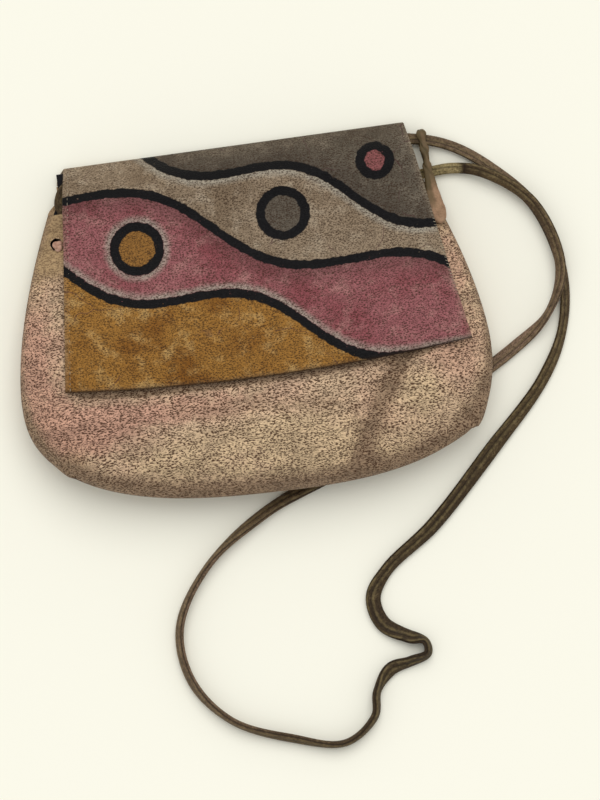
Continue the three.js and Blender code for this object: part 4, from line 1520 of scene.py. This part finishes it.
# The lowest point of the turned section stands on what carries the strap
heights = np.outer(np.sin(turn_angle), section[:, 0]) + np.outer(np.cos(turn_angle), section[:, 1])
drop = np.min(heights, axis=1)
strap_path = np.column_stack([plan, under + 0.15 - drop * swell])
step_lengths = np.linalg.norm(np.diff(strap_path, axis=0), axis=1)
strap_along = np.concatenate([[0], np.cumsum(step_lengths)])

# %% Strap leather


def make_strap_leather():
    material, made, shader = new_material("strap_leather")
    place = made.flat_map()
    pores, height = pores_on(made, place, 0.9, 1.9, 0.44, 1.2, 0.7)
    slow = made.cloud(place, 0.045, 3.0)
    quick = made.cloud(place, 0.004, 3.0, 0.65)
    fleck = made.cloud(place, 0.0010, 2.0, 0.6)
    base = made.blend(made.step(slow, 0.38, 0.62), colour("#463723"), colour("#57472e"))
    base = made.blend(made.step(quick, 0.5, 0.75), base, colour("#746345"))
    base = made.stain(base, made.painted("rosy"), made.step(quick, 0.3, 0.6, 0.3, 0.8), "#917763")
    base = made.stain(base, made.painted("grimy"), made.step(quick, 0.3, 0.7, 0.9, 0.55), "#33271a")
    paler = made.blend(made.step(quick, 0.35, 0.65), colour("#877650"), colour("#a09066"))
    base = made.blend(made.painted("lighter"), base, paler)
    light = made.step(fleck, 0.3, 0.7, 0.84, 1.16)
    base = made.shade(base, light)
    base = made.stain(base, pores, 0.6, "#241a0f")
    # Painted shade in the groove where the fold closes and in the slit at the side.
    base = made.stain(base, made.painted("crease"), 0.8, "#1c140c")
    base = made.stain(base, made.painted("fold"), made.step(quick, 0.35, 0.6, 0.1, 0.5), "#85754f")
    # Dark at the splice: partly the join's own colour, partly painted shadow of the step between the pieces.
    base = made.blend(made.painted("splice"), base, colour("#2b1e12"))
    surface(made, shader, base, made.step(quick, 0.3, 0.7, 0.52, 0.68), 0.15)
    leather_bump(made, shader, height, 0.00014, place)
    return material


strap_leather = make_strap_leather()

# %% A tree that sweeps the section along the route


def make_strap_tree():
    inputs = [("Route", "Geometry", None), ("Section", "Object", None), ("Size", "Float", 1.0),
              ("Leather", "Material", None)]
    tree, made, given, result = new_group("folded_strap", inputs, [("Strap", "Geometry")], "Geometry")
    tree.is_modifier = True

    def named(name):
        return made.add("GeometryNodeInputNamedAttribute", {"Name": name}, data_type="FLOAT").outputs[0]

    line = made.add("GeometryNodeMeshToCurve", {"Mesh": given["Route"]}).outputs[0]
    level = made.add("GeometryNodeSetCurveNormal", {"Curve": line}, mode="Z_UP").outputs[0]
    tilted = made.add("GeometryNodeSetCurveTilt", {"Curve": level, "Tilt": named("turn")}).outputs[0]
    outline = made.add("GeometryNodeObjectInfo", {"Object": given["Section"]}).outputs["Geometry"]
    profile = made.add("GeometryNodeMeshToCurve", {"Mesh": outline}).outputs[0]
    size = made.sum("MULTIPLY", given["Size"], named("swell"))
    swept = made.add("GeometryNodeCurveToMesh", {"Curve": tilted, "Profile Curve": profile, "Scale": size,
                                                 "Fill Caps": True}).outputs[0]
    made.feed(result["Strap"], made.solid(swept, given["Leather"]))
    return tree


# %% Sweep the strap
around = np.concatenate([[0], np.cumsum(np.linalg.norm(np.diff(section, axis=0), axis=1))])
on_top = section[:, 1] > 0.3
# The crease mask marks the groove on top and the slit at the side, for painted shade there.
groove_shade_mask = np.maximum(bump_at(section[:, 0] - 0.9, 0.45) * on_top,
                         bump_at(section[:, 1] - 0.1, 0.4) * (section[:, 0] > 2.9))
fold_mask = np.maximum(bump_at(section[:, 0] - 0.1, 0.5) * on_top,
                       bump_at(np.hypot(section[:, 0] - 3.3, section[:, 1] - 1.2), 0.6))
uneven = 1 + 0.035 * hills(strap_along, 0 * strap_along, 21, 71)

# The sweep turns the section's up to down, so it goes in upside down
hung = np.column_stack([section[:, 0], -section[:, 1], 0 * section[:, 0]])
section_chain = chain("strap_section", hung * MM, True, around=around, crease=groove_shade_mask, fold=fold_mask)
strap = chain("strap_cord", strap_path * MM, False, turn=-turn_angle, swell=swell * uneven, along=strap_along)
swept = run_tree(strap, make_strap_tree(), {"Section": section_chain, "Size": 1.0, "Leather": strap_leather})
bpy.data.objects.remove(section_chain)


def face_outwards(mesh):
    """Turns a closed mesh so that its faces point out, and shades it smooth."""
    work = bmesh.new()
    work.from_mesh(mesh)
    bmesh.ops.recalc_face_normals(work, faces=work.faces)
    work.to_mesh(mesh)
    work.free()
    mesh.shade_smooth()


def values_of(mesh, name):
    numbers = np.zeros(len(mesh.vertices), np.float32)
    mesh.attributes[name].data.foreach_get("value", numbers)
    return numbers


def map_tube(mesh, along, turn_round, length_round):
    """The grain map of a tube: millimetres along it, and round it without a jump at the join."""
    corner = corner_points(mesh)
    place = np.stack([along[corner], turn_round[corner]], axis=1)
    for face in mesh.polygons:
        loops = list(face.loop_indices)
        high = place[loops, 1].max()
        for loop in loops:
            if high - place[loop, 1] > length_round / 2:
                place[loop, 1] += length_round
    add_map(mesh, "grain", place)


face_outwards(swept)
girth = around[-1] + np.linalg.norm(section[0] - section[-1])
along_strap = values_of(swept, "along")
map_tube(swept, along_strap, values_of(swept, "around"), girth)

# %% [markdown]
# The strap is spliced near its right end, where a paler piece begins, and it is rosier where it is bent
# on edge. Each place is found by its distance along the strap.

# %% Marks along the strap


def strap_at(stage_number):
    return strap_along[int(stage_number * strap_steps)]


splice_slant = 2.0
splice = strap_at(37.77)
second_splice = strap_at(37.23)
here = along_strap + splice_slant * np.sin(values_of(swept, "around") / girth * 2 * math.pi)
# The dark lines at the splice are the join, painted darker as the shadow of the step between the two pieces.
add_mask(swept, "splice", bump_at(here - splice, 2.2) + 0.6 * bump_at(here - second_splice, 1.6))
add_mask(swept, "lighter", smooth((here - splice) / 1.5))


def strap_patches(*patches_along):
    """A mask with soft patches, each a stage, a length and an amount."""
    total = 0
    for number, length, amount in patches_along:
        total = total + amount * bump_at(along_strap - strap_at(number), length)
    return np.clip(total, 0, 1)


add_mask(swept, "rosy", strap_patches((33, 60, 1.0), (29, 90, 0.7), (8, 70, 0.5)))
add_mask(swept, "grimy", strap_patches((18.5, 70, 1.0), (13.5, 60, 0.5)))
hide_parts("strap")
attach(strap, "pouch")

# %% [markdown]
# ### The knot
# The strap's left end comes out of the hole and is pulled into a tight overhand knot. A knot of three
# lobes is a closed curve with a simple rule, and a thick tube along it looks like the pulled knot.

# %% Knot in the left ear


def ring_faces(count, sides, closed):
    """The faces between rings of points, in a closed loop or with a cap at each end."""
    faces = []
    for i in range(count if closed else count - 1):
        j = (i + 1) % count
        for k in range(sides):
            n = (k + 1) % sides
            faces.append((i * sides + k, j * sides + k, j * sides + n, i * sides + n))
    if not closed:
        faces.append(tuple(range(sides)))
        faces.append(tuple(reversed(range((count - 1) * sides, count * sides))))
    return faces


def make_tube(name, centres, ring_axes, ring_sizes, sides, closed):
    """A tube of elliptic rings. Each ring has two axes and two radii."""
    angle = np.arange(sides) / sides * 2 * math.pi
    rings = (centres[:, None, :]
             + ring_axes[0][:, None, :] * (np.cos(angle)[None, :] * ring_sizes[0][:, None])[..., None]
             + ring_axes[1][:, None, :] * (np.sin(angle)[None, :] * ring_sizes[1][:, None])[..., None])
    mesh = bpy.data.meshes.new(name)
    mesh.from_pydata((rings.reshape(-1, 3) * MM).tolist(), [], ring_faces(len(centres), sides, closed))
    return mesh


def axes_along(centres, hint, closed=False):
    """Two directions across a path, the first as near to hint as it can be."""
    if closed:
        tangent = np.roll(centres, -1, axis=0) - np.roll(centres, 1, axis=0)
    else:
        tangent = np.gradient(centres, axis=0)
    tangent /= np.linalg.norm(tangent, axis=1, keepdims=True)
    first = hint - tangent * np.sum(hint * tangent, axis=1, keepdims=True)
    first /= np.linalg.norm(first, axis=1, keepdims=True)
    return first, np.cross(tangent, first)


knot_radius = 2.75
knot_tube = 1.15
knot_steps = 90
neck_steps = 12
t = np.arange(knot_steps) / knot_steps * 2 * math.pi
loop = np.stack([np.sin(t) + 2 * np.sin(2 * t), np.cos(t) - 2 * np.cos(2 * t), -1.1 * np.sin(3 * t)], axis=1)
loop = loop / 3 * (knot_radius - knot_tube * 0.75)
loop[:, 2] *= 0.75
loop += np.array([knot_x + 0.2, knot_y - 0.2, knot_z + 1.5])
side, over = axes_along(loop, np.tile([0.05, 0.0, 1.0], (knot_steps, 1)), True)
thick = np.full(knot_steps, knot_tube)
knot_mesh = make_tube("strap_knot", loop, (side, over), (thick * 0.85, thick * 1.12), 16, True)
neck_height = np.linspace(knot_z - leather - 4.2, knot_z + 1.6, neck_steps)
neck = np.column_stack([np.full(neck_steps, knot_x), np.full(neck_steps, knot_y), neck_height])
neck_axes = axes_along(neck, np.tile([1.0, 0.2, 0.0], (neck_steps, 1)))
neck_size = 1.75 - 0.5 * bump_at(np.linspace(0, 1, neck_steps), 0.25)
neck_mesh = make_tube("neck", neck, neck_axes, (neck_size, neck_size * 0.9), 20, False)


def join_meshes(name, meshes):
    work = bmesh.new()
    for mesh in meshes:
        work.from_mesh(mesh)
        bpy.data.meshes.remove(mesh)
    joined = bpy.data.meshes.new(name)
    bmesh.ops.recalc_face_normals(work, faces=work.faces)
    work.to_mesh(joined)
    work.free()
    joined.shade_smooth()
    return joined


def make_smooth_leather(name, dark, plain, pale, line_colour):
    """A worn, fine leather without much grain, darker where its line mask says: painted shade in creases,
    grooves and under the knot, and the own olive colour of the tab's neck.
    """
    material, made, shader = new_material(name)
    place = made.add("ShaderNodeTexCoord").outputs["Object"]
    quick = made.cloud(place, 0.0045, 4.0, 0.6)
    fleck = made.cloud(place, 0.0009, 3.0, 0.6)
    base = made.blend(made.step(quick, 0.3, 0.5), colour(dark), colour(plain))
    base = made.blend(made.step(quick, 0.5, 0.72), base, colour(pale))
    light = made.step(fleck, 0.3, 0.7, 0.88, 1.1)
    base = made.shade(base, light)
    # Darker along the line mask: painted shade, and on the tab also the neck's own olive colour.
    base = made.blend(made.sum("MULTIPLY", made.painted("line"), 0.9), base, colour(line_colour))
    surface(made, shader, base, made.step(quick, 0.3, 0.7, 0.52, 0.7), 0.2)
    leather_bump(made, shader, fleck, 0.00012, place)
    return material


knot_leather = make_smooth_leather("knot_leather", "#9a7462", "#b78f7a", "#caa792", "#5b3a2c")
knot = add_object("strap_knot", join_meshes("strap_knot", [knot_mesh, neck_mesh]))
knot.data.materials.append(knot_leather)
place = np.array([v.co for v in knot.data.vertices]) / MM
height_in_knot = place[:, 2] - knot_z
# Darker low down: painted shade under the knot and down its neck into the hole.
add_mask(knot.data, "line", np.clip(1 - (height_in_knot - 0.2) / 1.2, 0, 1) * 0.8)
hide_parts("strap_knot_left")
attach(knot, "pouch")

# %% [markdown]
# ### The tab on the right ear
# A drop of folded leather hangs from a neck that was twisted and hooked round the strap. It is a tube
# through the solid's own stations, with a groove where the leather closes and slanting creases where it
# is twisted.

# %% Tab
tab_corner = np.array([mouth_width / 2, mouth_y, mouth_seam_height])
tab_route = [
    (9.1, -32.6, 12.1, 3, 2.2, 0.6), (8.9, -29.5, 11.4, 6.8, 3, 0.65), (8.4, -25, 9.7, 8.8, 3.2, 0.7),
    (7.7, -19, 7.2, 8.4, 3.2, 0.7), (7.1, -13, 4.7, 7, 3, 0.6), (6.8, -7.5, 3.2, 6, 3, 0.4),
    (6.4, -2.5, 2.2, 4.8, 2.8, 0.25), (6.5, 2.8, 1.2, 3.2, 2.6, 0.1), (6.2, 7.5, 0.4, 4.2, 2.2, 0),
    (5.8, 12.5, -0.4, 4.5, 1.6, 0), (5.6, 16.2, -0.6, 4.6, 1.5, 0), (5.6, 18.4, -3.9, 4.4, 1.5, 0),
    (5.7, 16.2, -7.6, 4.4, 1.5, 0), (5.8, 11.5, -7.8, 4.4, 1.5, 0), (6.2, 6, -5.6, 4, 1.5, 0),
    (6.5, 0.5, -1.6, 3.2, 1.5, 0),
]
tab_stations = flowing(tab_route, 12)
tab_centres = tab_stations[:, :3] + tab_corner
tab_lengths = np.concatenate([[0], np.cumsum(np.linalg.norm(np.diff(tab_centres, axis=0), axis=1))])
drop_rounding = 2.4
end_rounding = 1.2
drop_ends = 30.0
neck_starts = 26.0
neck_ends = 60.0
twist_pitch = 12.0
knob_pitch = 8.5
tip = round_edge(tab_lengths + 0.05, drop_rounding)
tip = tip * round_edge(tab_lengths[-1] - tab_lengths + 0.1, end_rounding)
tab_hint = np.stack([np.ones(len(tab_stations)), np.zeros(len(tab_stations)), -tab_stations[:, 5]], axis=1)
tab_side, tab_over = axes_along(tab_centres, tab_hint)
tab_sides = 40
tab_angle = np.arange(tab_sides) / tab_sides * 2 * math.pi
half_across = tab_stations[:, 3] / 2 * tip * (1.16 - 0.16 * smooth((tab_lengths - 12) / 14))
half_thick = tab_stations[:, 4] / 2 * np.clip(tip * 1.15, 0, 1)
cos_a, sin_a = np.cos(tab_angle), np.sin(tab_angle)
shape_across = np.sign(cos_a) * np.abs(cos_a) ** 0.8
shape_over = np.sign(sin_a) * np.abs(sin_a) ** 0.9
neck_part = smooth((tab_lengths - neck_starts) / 8) * smooth((neck_ends - tab_lengths) / 8)
drop_part = 1 - smooth((tab_lengths - drop_ends) / 8)
twist_phase = tab_angle[None, :] * 2 + tab_lengths[:, None] * 2 * math.pi / twist_pitch
twist_crease = neck_part[:, None] * np.clip(np.cos(twist_phase), 0, 1) ** 4
closing_line = bump_at(shape_across[None, :] + 0.42 - 0.2 * drop_part[:, None], 0.13)
closing_line = closing_line * (shape_over > 0.2)[None, :] * (0.35 + 0.65 * drop_part[:, None])
deep = 0.85 * twist_crease + 0.5 * closing_line * tip[:, None]
dent = 0.25 * hills(tab_lengths[:, None] + 0 * tab_angle[None, :], tab_angle[None, :] * 3, 4.5, 81)
knobs = 0.22 * neck_part * np.cos(tab_lengths * 2 * math.pi / knob_pitch)
scale_down = 1 + knobs[:, None] - np.clip((deep - dent * 0.5) / 2.2, -0.2, 0.6)
tab_points = (tab_centres[:, None, :]
              + tab_side[:, None, :] * (half_across[:, None] * shape_across[None, :] * scale_down)[..., None]
              + tab_over[:, None, :] * (half_thick[:, None] * shape_over[None, :] * scale_down)[..., None])
tab_mesh = bpy.data.meshes.new("strap_tab")
tab_faces = ring_faces(len(tab_stations), tab_sides, False)
tab_mesh.from_pydata((tab_points.reshape(-1, 3) * MM).tolist(), [], tab_faces)
face_outwards(tab_mesh)
tab_leather = make_smooth_leather("tab_leather", "#7c6049", "#96775c", "#a6866b", "#4d4228")
tab_mesh.materials.append(tab_leather)
olive_neck = 0.8 * smooth((tab_lengths - 18) / 9)
tucked = 0.75 * smooth((-0.05 - shape_across) / 0.3)[None, :] * smooth((tab_lengths - 6) / 8)[:, None]
# The line mask holds the neck's own olive colour and painted shade in the twist creases and the closing
# groove, and is darker along the tucked side.
line_values = np.clip(np.maximum(np.maximum(twist_crease, closing_line), tucked) + olive_neck[:, None], 0, 1)
add_mask(tab_mesh, "line", line_values)
tab = add_object("strap_tab", tab_mesh)
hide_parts("strap_tab_right")
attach(tab, "pouch")
